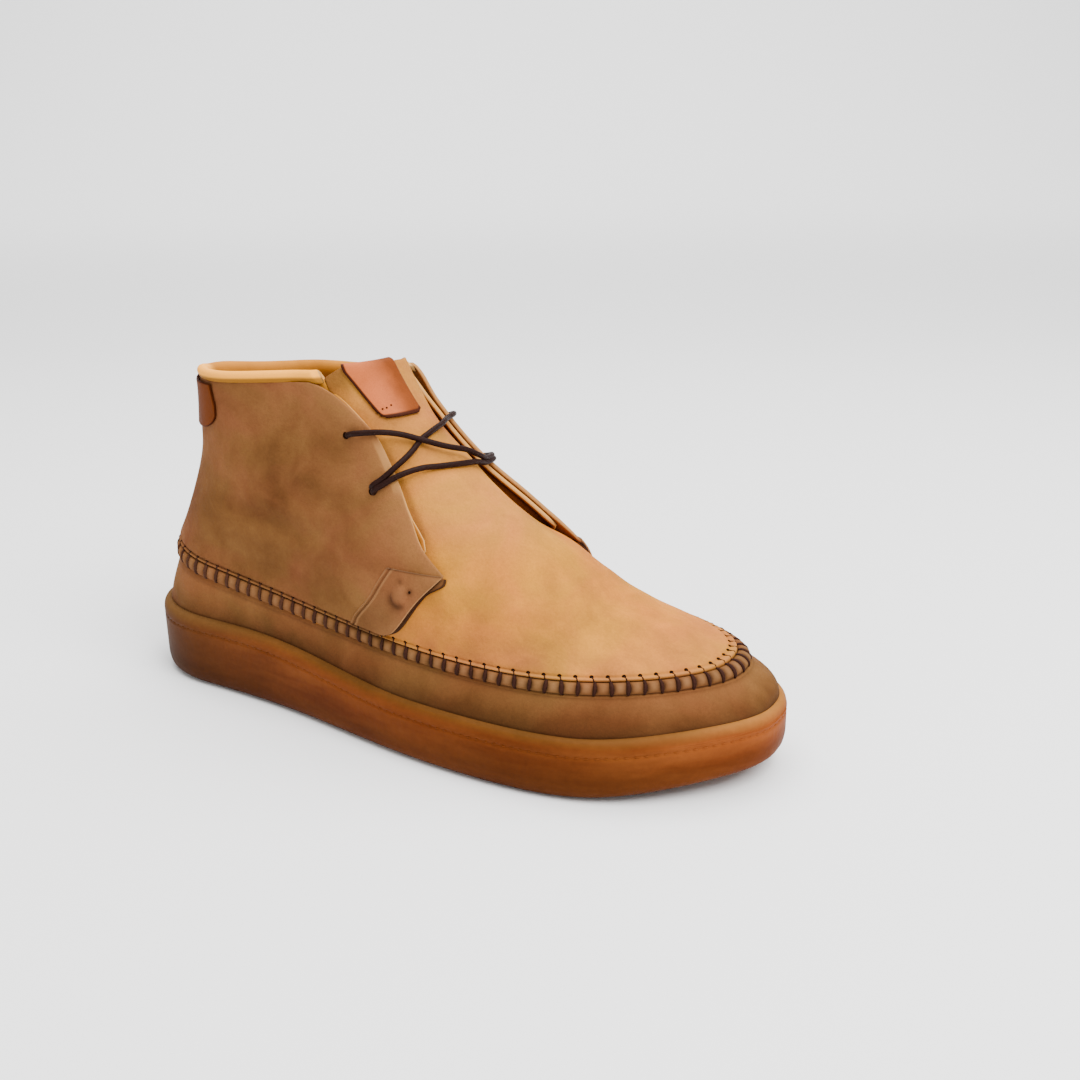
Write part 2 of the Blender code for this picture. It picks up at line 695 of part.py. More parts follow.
def make_patch(name, side, finish):
    """Patch over the lower front of one quarter."""
    heights = np.linspace(PATCH_REAR[0][0], PATCH_REAR[-1][0], 7)
    across = np.linspace(0, 1, 5)
    rows = []
    for height in heights:
        edge = EDGE[side](height)
        forward = edge - PATCH_BEHIND(height) + across * (PATCH_BEHIND(height) - PATCH_MARGIN)
        rows.append(forward if side == OUTER_SIDE else 1 - forward)
    net = Net()
    face = LAP_STEP + PATCH_GAP
    net.slab([skin_point(turn, height, face + PATCH_WALL) for turn, height in zip(rows, heights)],
             [skin_point(turn, height, face) for turn, height in zip(rows, heights)])
    net.piece(name, finish)


def lace_point(turn, height, over):
    """Middle of the lace where it lies over the quarters and bridges the tongue."""
    edge = {side: EDGE[side](height) for side in (OUTER_SIDE, INNER_SIDE)}
    outer = (LAP_STEP + RISE[OUTER_SIDE](height)) * (1 - ease(turn, edge[OUTER_SIDE], LACE_BRIDGE))
    inner = LAP_STEP + RISE[INNER_SIDE](height) + LACE_LIFT
    inner *= 1 - ease(1 - turn, edge[INNER_SIDE], LACE_BRIDGE)
    return skin_point(turn, height, outer + inner + LACE / 2 + LACE_CLEAR + over)


def make_strand(name, course, over, finish):
    """One length of lace along its course; over is its extra height where it crosses another."""
    lengths, sides = LACE_SHAPE
    knots = np.linspace(0, 1, len(course))
    along = np.linspace(0, 1, lengths + 1)
    turn, height = (natural_curve(knots, [point[i] for point in course])(along) for i in (0, 1))
    path = lace_point(turn, height, over * np.sin(np.pi * along) ** 2)
    way = np.gradient(path, axis=0)
    way /= np.linalg.norm(way, axis=1, keepdims=True)
    side = np.cross(way, (0.0, 0.0, 1.0))
    side /= np.linalg.norm(side, axis=1, keepdims=True)
    up = np.cross(side, way)
    rings = []
    for angle in np.arange(sides) * 2 * math.pi / sides:
        rings.append(path + (side * math.cos(angle) + up * math.sin(angle)) * LACE / 2)
    net = Net()
    numbers = net.add(np.array(rings).transpose(1, 0, 2))
    net.quads(closed(numbers))
    for ring in (numbers[0], numbers[-1]):
        net.fan(list(ring))
    return net.piece(name, finish)


def make_lace(finish):
    """Bar over the lower eyelets and the cross above it, joined where they touch."""
    rising = make_strand("lace_crossings", LACE_RISING, 0.0, finish)
    falling = make_strand("lace_falling", LACE_FALLING, LACE_OVER, None)
    bar = make_strand("lace_bar", LACE_BAR, 0.0, None)
    boolean(rising, falling, "UNION")
    boolean(rising, bar, "UNION")


def build():
    """Make every piece of the boot."""
    for thing in list(bpy.data.objects):
        bpy.data.objects.remove(thing, do_unlink=True)
    tan = principled("waxed_nubuck", (0.42, 0.22, 0.09), 0.72)
    smooth = principled("smooth_tab_leather", (0.52, 0.20, 0.09), 0.42)
    make_sole(principled("gum_rubber", (0.36, 0.13, 0.035), 0.42))
    make_insole(principled("footbed", (0.50, 0.33, 0.17), 0.80))
    make_rand(principled("rand_leather", (0.33, 0.16, 0.06), 0.70))
    make_upper(tan)
    make_tongue(principled("tongue_nubuck", (0.50, 0.28, 0.12), 0.74))
    make_tongue_tab(smooth)
    make_heel_tab(principled("heel_tab_leather", (0.36, 0.12, 0.05), 0.45))
    patch = principled("patch_nubuck", (0.38, 0.19, 0.08), 0.70)
    make_patch("facing_patch_lateral", OUTER_SIDE, patch)
    make_patch("facing_patch_medial", INNER_SIDE, patch)
    make_lace(principled("waxed_lace", (0.035, 0.014, 0.008), 0.38))


if __name__ == "__main__":
    build()
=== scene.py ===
"""Looks of an ankle-high sneaker boot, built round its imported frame.

Lengths are in millimetres until a mesh is made.  Turns run round the foot: 0 at the heel, 0.25 on
the outer side, 0.5 at the toe, 0.75 on the inner side.  Heights run up the last: 30 at the foot
of the raised seam, 81 at the lower tips of the quarters, 165 at the collar.
"""

import math

import bmesh
import bpy
import numpy as np
from mathutils import Matrix, Vector


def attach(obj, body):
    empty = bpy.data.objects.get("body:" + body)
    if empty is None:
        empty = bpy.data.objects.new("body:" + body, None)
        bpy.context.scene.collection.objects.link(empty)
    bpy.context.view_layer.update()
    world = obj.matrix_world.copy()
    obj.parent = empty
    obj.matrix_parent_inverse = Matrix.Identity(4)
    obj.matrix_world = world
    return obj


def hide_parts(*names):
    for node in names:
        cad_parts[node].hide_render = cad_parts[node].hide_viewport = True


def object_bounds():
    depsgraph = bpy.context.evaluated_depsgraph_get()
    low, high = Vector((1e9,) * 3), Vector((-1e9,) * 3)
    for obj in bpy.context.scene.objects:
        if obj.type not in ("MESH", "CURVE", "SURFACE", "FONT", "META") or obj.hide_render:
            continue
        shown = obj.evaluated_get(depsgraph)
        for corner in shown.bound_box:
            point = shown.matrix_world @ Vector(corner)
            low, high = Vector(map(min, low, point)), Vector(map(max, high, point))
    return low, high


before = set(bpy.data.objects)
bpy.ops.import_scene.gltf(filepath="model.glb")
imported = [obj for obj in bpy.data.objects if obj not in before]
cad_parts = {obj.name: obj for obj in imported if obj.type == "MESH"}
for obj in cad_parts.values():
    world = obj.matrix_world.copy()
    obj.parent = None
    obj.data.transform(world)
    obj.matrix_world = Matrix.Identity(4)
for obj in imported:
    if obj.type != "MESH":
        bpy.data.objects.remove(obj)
CAD_BOX = [list(corner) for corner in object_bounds()]

MM = 0.001
NUDGE = 0.002  # turn either side of a place, to find a direction there
LENGTH = round((CAD_BOX[1][0] - CAD_BOX[0][0]) / MM, 1)
BALL_WIDTH, SHAFT_HEIGHT, INSTEP_HEIGHT = 111, 139.5, 147
HEEL_RIM, WAIST_RIM, TOE_RIM = 33.2, 26, 30.3
TOE_SPRING = 7.7
CUP_DEPTH = 10
CHANNEL, CHANNEL_DEPTH = 6.6, 0.22  # stitch channel below the rim
SIDE_STITCHES = 186
SEAM, BAND, BAND_RISE = 30, 6.5, 1.58  # foot, width and rise of the seam's band
BAND_MIDDLE = SEAM + 3
STITCHES, PER_STITCH = 100, 10
HOLES_ABOVE = 2.75
LAP = 1.3
TIP = 81
QUARTER_TOP, TONGUE_TOP = 164.3, 169.4
LACE = 2.4
EXPOSURE = 1.5
AZIMUTH = math.radians(29.64)
OUTER, INNER = 1, 2

# The last, as in the CAD source: level loops by height
LEVEL_NAMES = (
    "height", "back", "back_z", "front", "front_z", "sag", "heel", "waist", "joint", "ball",
    "toe", "back_cap", "front_cap", "swing", "drop",
)
LEVELS = (
    (0, 1.3, 14, 98.7, 13.5, -9, 31.6, 33, 37.6, 45.6, 29.5, 42, 66, 1, 0),
    (12, 1.2, 23.8, 98.8, 22.2, -7, 31.8, 33.2, 37.9, 46, 29.5, 42, 66, 1, 0),
    (30, 4.6, 41.9, 95, 28.9, -8.4, 32.9, 33.8, 34.6, 41.2, 28.8, 38, 70, 1, 0),
    (37, 4.9, 45.5, 93, 31.8, -8.4, 32.4, 33.3, 34, 40.2, 29.5, 38, 69, 1, 0),
    (52, 5.4, 49.2, 85, 36.6, -7.4, 31.4, 32.6, 33.3, 38.4, 32.5, 38, 66, 1, 0),
    (77, 6.9, 56, 73.2, 48.6, 0, 29.7, 32, 32.4, 33.3, 27.9, 40, 50, 0.9, 0),
    (102, 8.8, 67.6, 64.4, 62, 0, 26.6, 30.6, 30.2, 27.9, 24.3, 42, 42, 0.7, 0.6),
    (127, 10, 79.2, 55.1, 75.3, 0, 24.3, 29.3, 28.8, 25.2, 21.6, 44, 34, 0.5, 1.2),
    (149, 9.6, 90.3, 48.2, 89.3, 0, 22.5, 27.4, 26.8, 22.6, 20.7, 44, 30, 0.3, 1.8),
    (165, 9.3, 100, 44.7, 100, 0, 22.3, 27.4, 26.6, 21.7, 19.8, 44, 28, 0.2, 2.4),
    (175, 9.2, 105.5, 42.9, 106.4, 0, 22.3, 27.4, 26.6, 21.7, 19.8, 44, 28, 0.2, 2.6),
)
STATIONS = (0, 0.22, 0.48, 0.74, 1)
WIDTHS = ("heel", "waist", "joint", "ball", "toe")
SCALES = dict.fromkeys(WIDTHS, BALL_WIDTH / 100)
SCALES.update(back=LENGTH / 100, front=LENGTH / 100, back_z=SHAFT_HEIGHT / 100,
              front_z=INSTEP_HEIGHT / 100)
SOLE_LOOP = dict(zip(WIDTHS, np.array((35, 36.4, 41.1, 49.2, 32)) * BALL_WIDTH / 100),
                 back_cap=44, front_cap=66)
SWING = ((0, 0.3, 0.5, 0.667, 0.833, 1), (0, -0.7, -4.9, -1.3, 2.3, 7.4))

# Rings of the sole: inset from its outline, mm over the ground or under the rim, and share of
# the way from the rim's colour down to the tread's
TREAD_RINGS = (
    (12, 0), (9, 0), (6.6, 0), (5, 0.02), (3.6, 0.45), (2.4, 1.15), (1.4, 2.1), (0.75, 3.3),
    (0.35, 4.8), (0.12, 6.4), (0, 8),
)
CHANNEL_RINGS = (
    (0.02, 7.9, 0.7), (0.05, 7.35, 0.66), (0.22, 7, 0.66), (0.34, CHANNEL, 0.66),
    (0.22, 6.2, 0.62), (0.05, 5.85, 0.58), (0, 5.2, 0.5), (0, 4.6, 0.43),
)
RIM_RINGS = (
    (0.04, 3.9, 0.36), (0.14, 3.1, 0.28), (0.32, 2.3, 0.2), (0.65, 1.45, 0.12),
    (1.15, 0.75, 0.05), (1.8, 0.28, 0), (2.6, 0.05, 0), (3.4, 0, 0), (4.2, 0.05, 0),
)
SIDE_FOOT, SIDE_TOP = 8, 8.6  # of the plain side, over the ground and under the rim
FLAT_INSET, GROOVE_INSET = 16, 13
GROOVES = ((-136, 3), (-125, 3), (-114, 3), (-86, -3), (-75, -3), (-64, -3), (22, 4), (34, 4),
           (66, -4), (78, -4), (90, -4), (102, -4), (114, -4))  # x and slant
FOOTBED_RINGS = (  # share of the way to the wall, and rise
    (0.02, -1.2), (0.3, -1.1), (0.6, -0.8), (0.85, -0.2), (0.96, 0.2), (1, 0), (1, -3.2),
    (0.02, -3.3),
)

# Band of the seam and lip of the upper above it, as mm up from the seam and mm out; the threads
# over them, with their thicknesses
BAND_SHAPE = (
    (-1.2, 0), (-0.6, -0.25), (-0.2, -0.4), (0.05, 0.1), (0.3, 0.65), (0.8, 1.1), (1.5, 1.42),
    (2.4, BAND_RISE), (3.3, BAND_RISE), (4.2, 1.46), (5, 1.2), (5.6, 0.8), (6, 0.3),
    (6.3, -0.4), (6.1, -1.2),
)
THREAD = ((-0.35, -0.35, 0.4), (0.1, 0.45, 0.64), (0.9, 1, 0.76), (2, 1.3, 0.8),
          (3.3, 1.4, 0.8), (4.6, 1.2, 0.76), (5.6, 0.75, 0.68), (6.3, 0.1, 0.55), (6.7, -0.5, 0.3))
THREAD_OVER_LIP = ((-0.1, 0.25), (0.9, 0.34), (1.9, 0.32), (HOLES_ABOVE, 0.25))
LIP_STEPS = (
    -0.8, -0.45, -0.15, 0.1, 0.35, 0.6, 0.85, 1.1, 1.35, 1.6, 1.9, 2.2, 2.5, 2.9, 3.4, 4, 4.8,
    5.8,
)

# Front edges of the quarters (height, outer, inner), how far they stand off the tongue, and the
# hidden sides of the tongue and of the lining
EDGES = (
    (-5, 0.2, 0.26), (37, 0.247, 0.303), (49, 0.272, 0.332), (69, 0.317, 0.383),
    (TIP, 0.352, 0.415), (91, 0.348, 0.404), (109, 0.36, 0.4), (127, 0.38, 0.4),
    (142, 0.39, 0.4), (150, 0.38, 0.397), (156.5, 0.366, 0.398), (161, 0.35, 0.395),
    (163.5, 0.336, 0.389), (165, 0.322, 0.376),
)
STANDOFF = (
    (81, 0, 0.1), (86, 1.9, 1.9), (93, 2.2, 2.3), (105, 2.4, 2.8), (118, 2.5, 2.6),
    (135, 2.3, 2.9), (150, 2.2, 3.1), (165, 2, 3.3),
)
TONGUE_SIDES = (
    (30, 0.235, 0.28), (49, 0.25, 0.31), (69, 0.295, 0.355), (81, 0.326, 0.392),
    (92, 0.329, 0.376), (109, 0.336, 0.372), (127, 0.353, 0.374), (142, 0.362, 0.378),
    (156, 0.35, 0.385), (165, 0.35, 0.4), (TONGUE_TOP, 0.38, 0.43),
)
LINING_SIDES = (
    (14, 0.215, 0.265), (49, 0.232, 0.292), (69, 0.277, 0.338), (81, 0.308, 0.375),
    (85, 0.33, 0.392), (91, 0.3475, 0.4035), (109, 0.3595, 0.3995), (127, 0.3795, 0.3995),
    (142, 0.3895, 0.3995), (150, 0.3795, 0.3965), (156.5, 0.3655, 0.3975),
    (161, 0.3495, 0.3945), (163.5, 0.3465, 0.3885), (165, 0.3455, 0.3755),
)
HOLLOWS = ((81, 0), (88, 1.6), (96, 3.4), (107, 3.9), (118, 3), (130, 1.6), (145, 2.2),
           (158, 1.4), (171.5, 0.8))
HOLLOW_TURNS = (0.47, 0.57)
COLLAR_ROLL = (
    (144, -1.05), (148, -1.3), (152, -1.8), (156, -2.4), (159.5, -2.9), (162.2, -3.1),
    (164, -2.9), (165.3, -2.35), (166.1, -1.5), (166.3, -0.55), (166, 0.3), (165.2, 0.85),
    (164.3, 1.05), (163.4, 0.95), (162.6, 0.55), (162, 0.1),
)
COLLAR_HALF, TAB_HALF = 0.66, 0.6  # half the thickness of the lining and of the tabs
FACES = np.array((1, -1))[:, None, None]  # outer and inner face of a sheet

# Soft creases: places (turn, height), depth and width
QUARTER_FOLDS = (
    (((0.15, 97), (0.19, 90), (0.235, 88), (0.275, 92)), -0.9, 4.5),
    (((0.215, 118), (0.255, 110), (0.3, 106)), -0.6, 5),
    (((0.86, 98), (0.81, 91), (0.76, 90)), -0.8, 4.5),
    (((0.12, 62), (0.17, 56), (0.225, 58)), -0.5, 5.5),
)
VAMP_FOLDS = (
    (((0.4, 62), (0.45, 66), (0.5, 67), (0.55, 66), (0.59, 61)), -0.55, 4.5),
    (((0.385, 74), (0.43, 79), (0.48, 81), (0.53, 80), (0.57, 74)), -0.45, 4),
)

# Pull tab over the top of the tongue: its two sides low and high, the height and middle of the
# leather from front to back, and its stitch holes
TAB_LOW, TAB_HIGH = (0.4165, 0.493), (0.389, 0.488)
TAB_FOLD = (
    (149.5, 0.75), (152, 0.72), (155, 0.7), (158, 0.7), (162, 0.72), (166, 0.85),
    (168.7, 0.95), (170.2, 0.55), (170.9, -0.25), (171.1, -1), (170.8, -1.9), (170, -2.7),
    (168.3, -3.15), (165, -3.2), (160, -3.2),
)
TAB_HOLES = ((0.4235, 152.5), (0.431, 152.7), (0.4407, 153.4))
HEEL_TAB = {"turn": 0.172, "low": 139.5, "high": 162.5, "round": 13}

# Patches: how far behind the front edge they reach, and the tack of the outer one with the two
# ends of its thread
PATCH_REAR = ((37, 0.017), (44, 0.023), (53, 0.0305), (68, 0.0345), (80.5, 0.046))
TACK = (0.3053, 70.3)
TACK_ENDS = ((0.0058, 75.6), (0.0112, 72.6))

# Laces as (turn, height), and their eyelets
LACE_BAR = (
    (0.337, 118.2), (0.362, 122.6), (0.387, 126), (0.42, 128.7), (0.452, 129.2), (0.494, 128),
    (0.545, 124.7), (0.59, 120.6), (0.638, 116.6),
)
LACE_RISING = (
    (0.339, 120.4), (0.363, 124.6), (0.381, 128), (0.409, 132.8), (0.445, 138.4), (0.474, 141),
    (0.525, 143.2), (0.57, 142.6), (0.642, 138.5),
)
LACE_FALLING = (
    (0.349, 143), (0.392, 143.4), (0.438, 140.8), (0.474, 135.6), (0.503, 131.6),
    (0.524, 128.2), (0.56, 124.4), (0.6, 121.2), (0.64, 118.8),
)
EYELETS = ((0.3375, 119), (0.3485, 143), (0.641, 138.5), (0.639, 117.4))


def unit(vectors):
    """Vectors made 1 long."""
    return vectors / np.linalg.norm(vectors, axis=-1, keepdims=True)


def natural_curve(knots, values):
    """Return a natural cubic curve through the values at the knots."""
    knots, values = np.array(knots, float), np.array(values, float)
    last = len(knots) - 1
    step = np.diff(knots)
    system = np.eye(last + 1)
    right = np.zeros((last + 1,) + values.shape[1:])
    for i in range(1, last):
        system[i, i - 1:i + 2] = step[i - 1], 2 * (step[i - 1] + step[i]), step[i]
        slopes = (values[i:i + 2] - values[i - 1:i + 1]).T / step[i - 1:i + 1]
        right[i] = 6 * (slopes[..., 1] - slopes[..., 0])
    bend = np.linalg.solve(system, right)

    def curve(at):
        at = np.asarray(at, float)
        i = np.clip(np.searchsorted(knots, at) - 1, 0, last - 1)
        width, before, after = step[i], knots[i + 1] - at, at - knots[i]
        if values.ndim > 1:
            width, before, after = width[..., None], before[..., None], after[..., None]
        cubic = (bend[i] * before ** 3 + bend[i + 1] * after ** 3) / (6 * width)
        left = (values[i] / width - bend[i] * width / 6) * before
        return cubic + left + (values[i + 1] / width - bend[i + 1] * width / 6) * after

    return curve


def through(places, count):
    """Points along a natural curve through places."""
    return natural_curve(np.linspace(0, 1, len(places)), places)(np.linspace(0, 1, count))


def gentle(rows, column):
    """Smooth curve through one column of a short table, with no overshoot."""
    x, y = np.array([(row[0], row[column]) for row in rows], float).T
    slope = np.diff(y) / np.diff(x)
    lean = np.concatenate([slope[:1], (slope[:-1] + slope[1:]) / 2, slope[-1:]])
    most = 3 * np.minimum(np.abs(slope[:-1]), np.abs(slope[1:]))
    lean[1:-1] = np.where(slope[:-1] * slope[1:] > 0, np.clip(lean[1:-1], -most, most), 0)

    def curve(at):
        at = np.clip(at, x[0], x[-1])
        i = np.clip(np.searchsorted(x, at) - 1, 0, len(x) - 2)
        span = x[i + 1] - x[i]
        t = (at - x[i]) / span
        start = y[i] * (1 + 2 * t) * (1 - t) ** 2 + span * lean[i] * t * (1 - t) ** 2
        return start + y[i + 1] * t * t * (3 - 2 * t) + span * lean[i + 1] * t * t * (t - 1)

    return curve


def kinked(rows, column):
    """Smooth curves below and above the lower tip of the quarters."""
    below = gentle([row for row in rows if row[0] <= TIP], column)
    above = gentle([row for row in rows if row[0] >= TIP], column)
    return lambda at: np.where(np.asarray(at) < TIP, below(at), above(at))


def both_sides(rows, curve=gentle):
    """The curves of the outer and the inner side."""
    return {side: curve(rows, side) for side in (OUTER, INNER)}


def ease(at, start, end):
    """Rise smoothly from 0 at start to 1 at end."""
    share = np.clip((np.asarray(at, float) - start) / (end - start), 0, 1)
    return share * share * (3 - 2 * share)


def fall(at, start, end):
    """Fall smoothly from 1 at start to 0 at end."""
    return 1 - ease(at, start, end)


def bell(at, middle, width):
    """Smooth hump of height 1."""
    return np.exp(-((np.asarray(at, float) - middle) / width) ** 2)


def end_cap(distance, reach, power):
    """Half width near the end of a loop, from 0 at its tip to 1 at its reach."""
    share = np.clip(distance / reach, 0, 1)
    return (1 - (1 - share) ** power) ** (1 / power)


SWING_LINE = natural_curve(*SWING)
STATION_CURVES = [natural_curve(STATIONS, row) for row in np.eye(len(STATIONS))]
LEVEL_CURVES = {name: natural_curve([row[0] for row in LEVELS], column * SCALES.get(name, 1))
                for name, column in zip(LEVEL_NAMES, np.array(LEVELS).T)}


def round_loop(turn, length, row):
    """Share of the length and distance to the side at a turn; the outer side is below 0."""
    along = (1 - np.cos(2 * np.pi * turn)) / 2
    wide = sum(curve(along) * row[name] for curve, name in zip(STATION_CURVES, WIDTHS))
    wide = wide * end_cap(along * length, row["back_cap"], 2.2)
    wide = wide * end_cap((1 - along) * length, row["front_cap"], 2.4)
    return along, np.where(turn % 1 < 0.5, -1, 1) * wide


def last_point(turn, height):
    """Point of the last."""
    turn, height = np.broadcast_arrays(np.asarray(turn, float), np.asarray(height, float))
    row = {name: curve(height) for name, curve in LEVEL_CURVES.items()}
    length = row["front"] - row["back"]
    along, side = round_loop(turn, length, row)
    x = row["back"] + along * length - LENGTH / 2
    y = row["swing"] * SWING_LINE(x / LENGTH + 0.5) + side
    z = row["back_z"] + (row["front_z"] - row["back_z"]) * along
    z = z + row["sag"] * np.sin(np.pi * along) - row["drop"] * np.clip(side / 28, 0, 1)
    return np.stack([x, y, z], axis=-1)


def way_round(turn, height):
    """Direction of the last round the foot."""
    return last_point(turn + NUDGE, height) - last_point(turn - NUDGE, height)


def skin_normal(turn, height):
    """Outward direction of the last."""
    upward = last_point(turn, height + 0.5) - last_point(turn, height - 0.5)
    return unit(np.cross(way_round(turn, height), upward))


def from_heel(turn):
    """Turn counted forward from the heel on both sides."""
    return np.minimum(turn % 1, 1 - turn % 1)


def skin_point(turn, height, out=0):
    """Point of the last moved out along its normal; the collar is drawn in at the heel."""
    turn, height, out = np.broadcast_arrays(*(np.asarray(a, float) for a in (turn, height, out)))
    out = out - 2.3 * ease(height, 132, 164) * fall(from_heel(turn), 0.06, 0.21)
    return last_point(turn, height) + skin_normal(turn, height) * out[..., None]


def sole_outline(turn):
    """Edge of the sole in plan."""
    along, side = round_loop(turn, LENGTH, SOLE_LOOP)
    return np.stack([(along - 0.5) * LENGTH, SWING_LINE(along) + side], axis=-1)


def sole_point(turn, inset=0):
    """Point of the sole's outline in plan, moved in by inset."""
    way = unit(sole_outline(turn + NUDGE) - sole_outline(turn - NUDGE))
    inward = np.stack([-way[..., 1], way[..., 0]], axis=-1)
    return sole_outline(turn) + inward * np.asarray(inset, float)[..., None]


def rim_height(x):
    """Top edge of the sole's side."""
    share = x / LENGTH + 0.5
    drop = (WAIST_RIM - HEEL_RIM) * ease(share, 0.22, 0.55)
    return HEEL_RIM + drop + (TOE_RIM - WAIST_RIM) * ease(share, 0.78, 1)


def floor_height(x):
    """Floor of the cup that the upper stands in."""
    return rim_height(x) - CUP_DEPTH


def ground_height(x):
    """Underside of the sole at its edge: flat, then rising to the toe."""
    return TOE_SPRING * ease(x / LENGTH + 0.5, 0.72, 1) ** 1.5


def height_at(turn, surface, above=0):
    """Height on the last where each turn's column passes a surface given over x."""
    samples = np.linspace(-2, 60, 125)
    columns = last_point(turn[:, None], samples)
    gap = columns[..., 2] - surface(columns[..., 0]) - above
    return np.array([np.interp(0, row, samples) for row in gap])


def run_along(line):
    """Length of a line up to each of its points."""
    return np.append(0, np.cumsum(np.linalg.norm(np.diff(line, axis=0), axis=1)))


def even_turns(count, place=lambda turn: last_point(turn, BAND_MIDDLE)):
    """Turns that divide a loop into equal lengths."""
    turn = np.linspace(0, 1, 4001)
    run = run_along(place(turn))
    return np.interp(np.arange(count) / count * run[-1], run, turn)


BAND_TURNS = np.arange(800) / 800
BAND_SAMPLES = SEAM + np.linspace(0, 20, 81)
BAND_TOPS = np.array([np.interp(BAND, run_along(column), BAND_SAMPLES)
                      for column in last_point(BAND_TURNS[:, None], BAND_SAMPLES)])
SEAM_TURNS = even_turns(STITCHES * PER_STITCH)
EDGE, RISE = both_sides(EDGES, kinked), both_sides(STANDOFF)
TONGUE_SIDE, LINING_SIDE = both_sides(TONGUE_SIDES), both_sides(LINING_SIDES)
HOLLOW, PATCH_BEHIND = gentle(HOLLOWS, 1), gentle(PATCH_REAR, 1)


def by_side(outer, curves, height):
    """What the curve of each place's own side says at a height."""
    return np.where(outer, curves[OUTER](height), curves[INNER](height))


def front_edge(turn, height):
    """Where the quarters end in front, counted from the heel."""
    return by_side(turn % 1 < 0.5, EDGE, height)


def band_top(turn):
    """Height on the last of the top of the seam's band."""
    return np.interp(np.asarray(turn) % 1, BAND_TURNS, BAND_TOPS, period=1)


def per_level(turn):
    """Millimetres for one level, beside the seam."""
    return BAND / (band_top(turn) - SEAM)


def over_band(turn, above):
    """Height on the last of a place some mm above the band."""
    return band_top(turn) + above / per_level(turn)


def above_band(turn, height):
    """Millimetres above the band of a height on the last."""
    return (height - band_top(turn)) * per_level(turn)


def seam_height(turn, above):
    """Height on the last of a place some mm above the foot of the band."""
    return SEAM + above / per_level(turn)


def standoff(share, height):
    """Rise of the quarters near their front edges."""
    return by_side(share >= 0, RISE, height) * ease(np.abs(share), 0.86, 1)


# Making meshes


def add_object(name, data):
    """Put new data in the scene."""
    thing = bpy.data.objects.new(name, data)
    bpy.context.scene.collection.objects.link(thing)
    return thing


def add_mesh(name, points, faces):
    """Put a new mesh in the scene, from points in mm."""
    mesh = bpy.data.meshes.new(name)
    mesh.from_pydata((np.asarray(points) * MM).tolist(), [], faces)
    return add_object(name, mesh)


def finished(name, points, faces, marks, look, stands_for):
    """Make a smooth closed piece, which rides on the boot."""
    piece = add_mesh(name, points, faces)
    mesh = piece.data
    for mark, values in marks.items():
        layer = mesh.attributes.new(mark, "FLOAT", "POINT")
        layer.data.foreach_set("value", np.asarray(values, np.float32))
    body = bmesh.new()
    body.from_mesh(mesh)
    bmesh.ops.recalc_face_normals(body, faces=body.faces)
    body.to_mesh(mesh)
    body.free()
    mesh.polygons.foreach_set("use_smooth", np.ones(len(mesh.polygons), bool))
    mesh.materials.append(look)
    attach(piece, "root")
    if stands_for:
        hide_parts(*stands_for)
    return piece


def quad_faces(numbers):
    """Faces over a grid of point numbers."""
    a, b, c, d = numbers[:-1, :-1], numbers[:-1, 1:], numbers[1:, 1:], numbers[1:, :-1]
    return np.stack([a, b, c, d], axis=-1).reshape(-1, 4).tolist()


def round_faces(numbers):
    """Faces over a grid of point numbers whose rows are closed."""
    return quad_faces(np.concatenate([numbers, numbers[:, :1]], axis=1))


def border(grid):
    """The edge of a grid as one loop."""
    return np.concatenate([grid[0, :-1], grid[:-1, -1], grid[-1, :0:-1], grid[:0:-1, 0]])


def leather(name, turn, height, out, look, marks, stands_for=(), bulge=0.8):
    """Sheet of leather with a rounded edge; out, and height if it differs, is front and back."""
    steps = 4
    face, back = skin_point(turn, height, out)
    shape = face.shape[:2]
    middle = (face + back) / 2
    within = np.pad(middle[1:-1, 1:-1], ((1, 1), (1, 1), (0, 0)), mode="edge")
    half = border(face - back) / 2
    away = unit(border(middle - within)) * np.linalg.norm(half, axis=1, keepdims=True) * bulge
    count, edge = shape[0] * shape[1], len(half)
    front = np.arange(count).reshape(shape)
    points = [face.reshape(-1, 3), back.reshape(-1, 3)]
    loops = [border(front)]
    rim = [np.zeros(2 * count)]
    for step in range(1, steps):
        angle = math.pi * step / steps
        points.append(border(middle) + half * math.cos(angle) + away * math.sin(angle))
        loops.append(2 * count + (step - 1) * edge + np.arange(edge))
        rim.append(np.full(edge, math.sin(angle) ** 0.5))
    loops.append(border(front + count))
    faces = quad_faces(front) + quad_faces(front + count) + round_faces(np.array(loops))
    values = {"rim": np.concatenate(rim),
              "inside": np.repeat((0, 1, 0), (count, count, edge * (steps - 1)))}
    for mark, grid in marks.items():
        grid = np.broadcast_to(grid, shape).astype(float)
        values[mark] = np.concatenate([grid.ravel(), grid.ravel(),
                                       np.tile(border(grid), steps - 1)])
    finished(name, np.concatenate(points), faces, values, look, stands_for)


def hoop(name, rings, look, marks, stands_for):
    """Closed ring of leather: rings of points, joined round and across."""
    shape = rings.shape[:2]
    numbers = np.arange(shape[0] * shape[1]).reshape(shape)
    faces = round_faces(np.concatenate([numbers, numbers[:1]]))
    values = {mark: np.broadcast_to(grid, shape).ravel() for mark, grid in marks.items()}
    finished(name, rings.reshape(-1, 3), faces, values, look, stands_for)


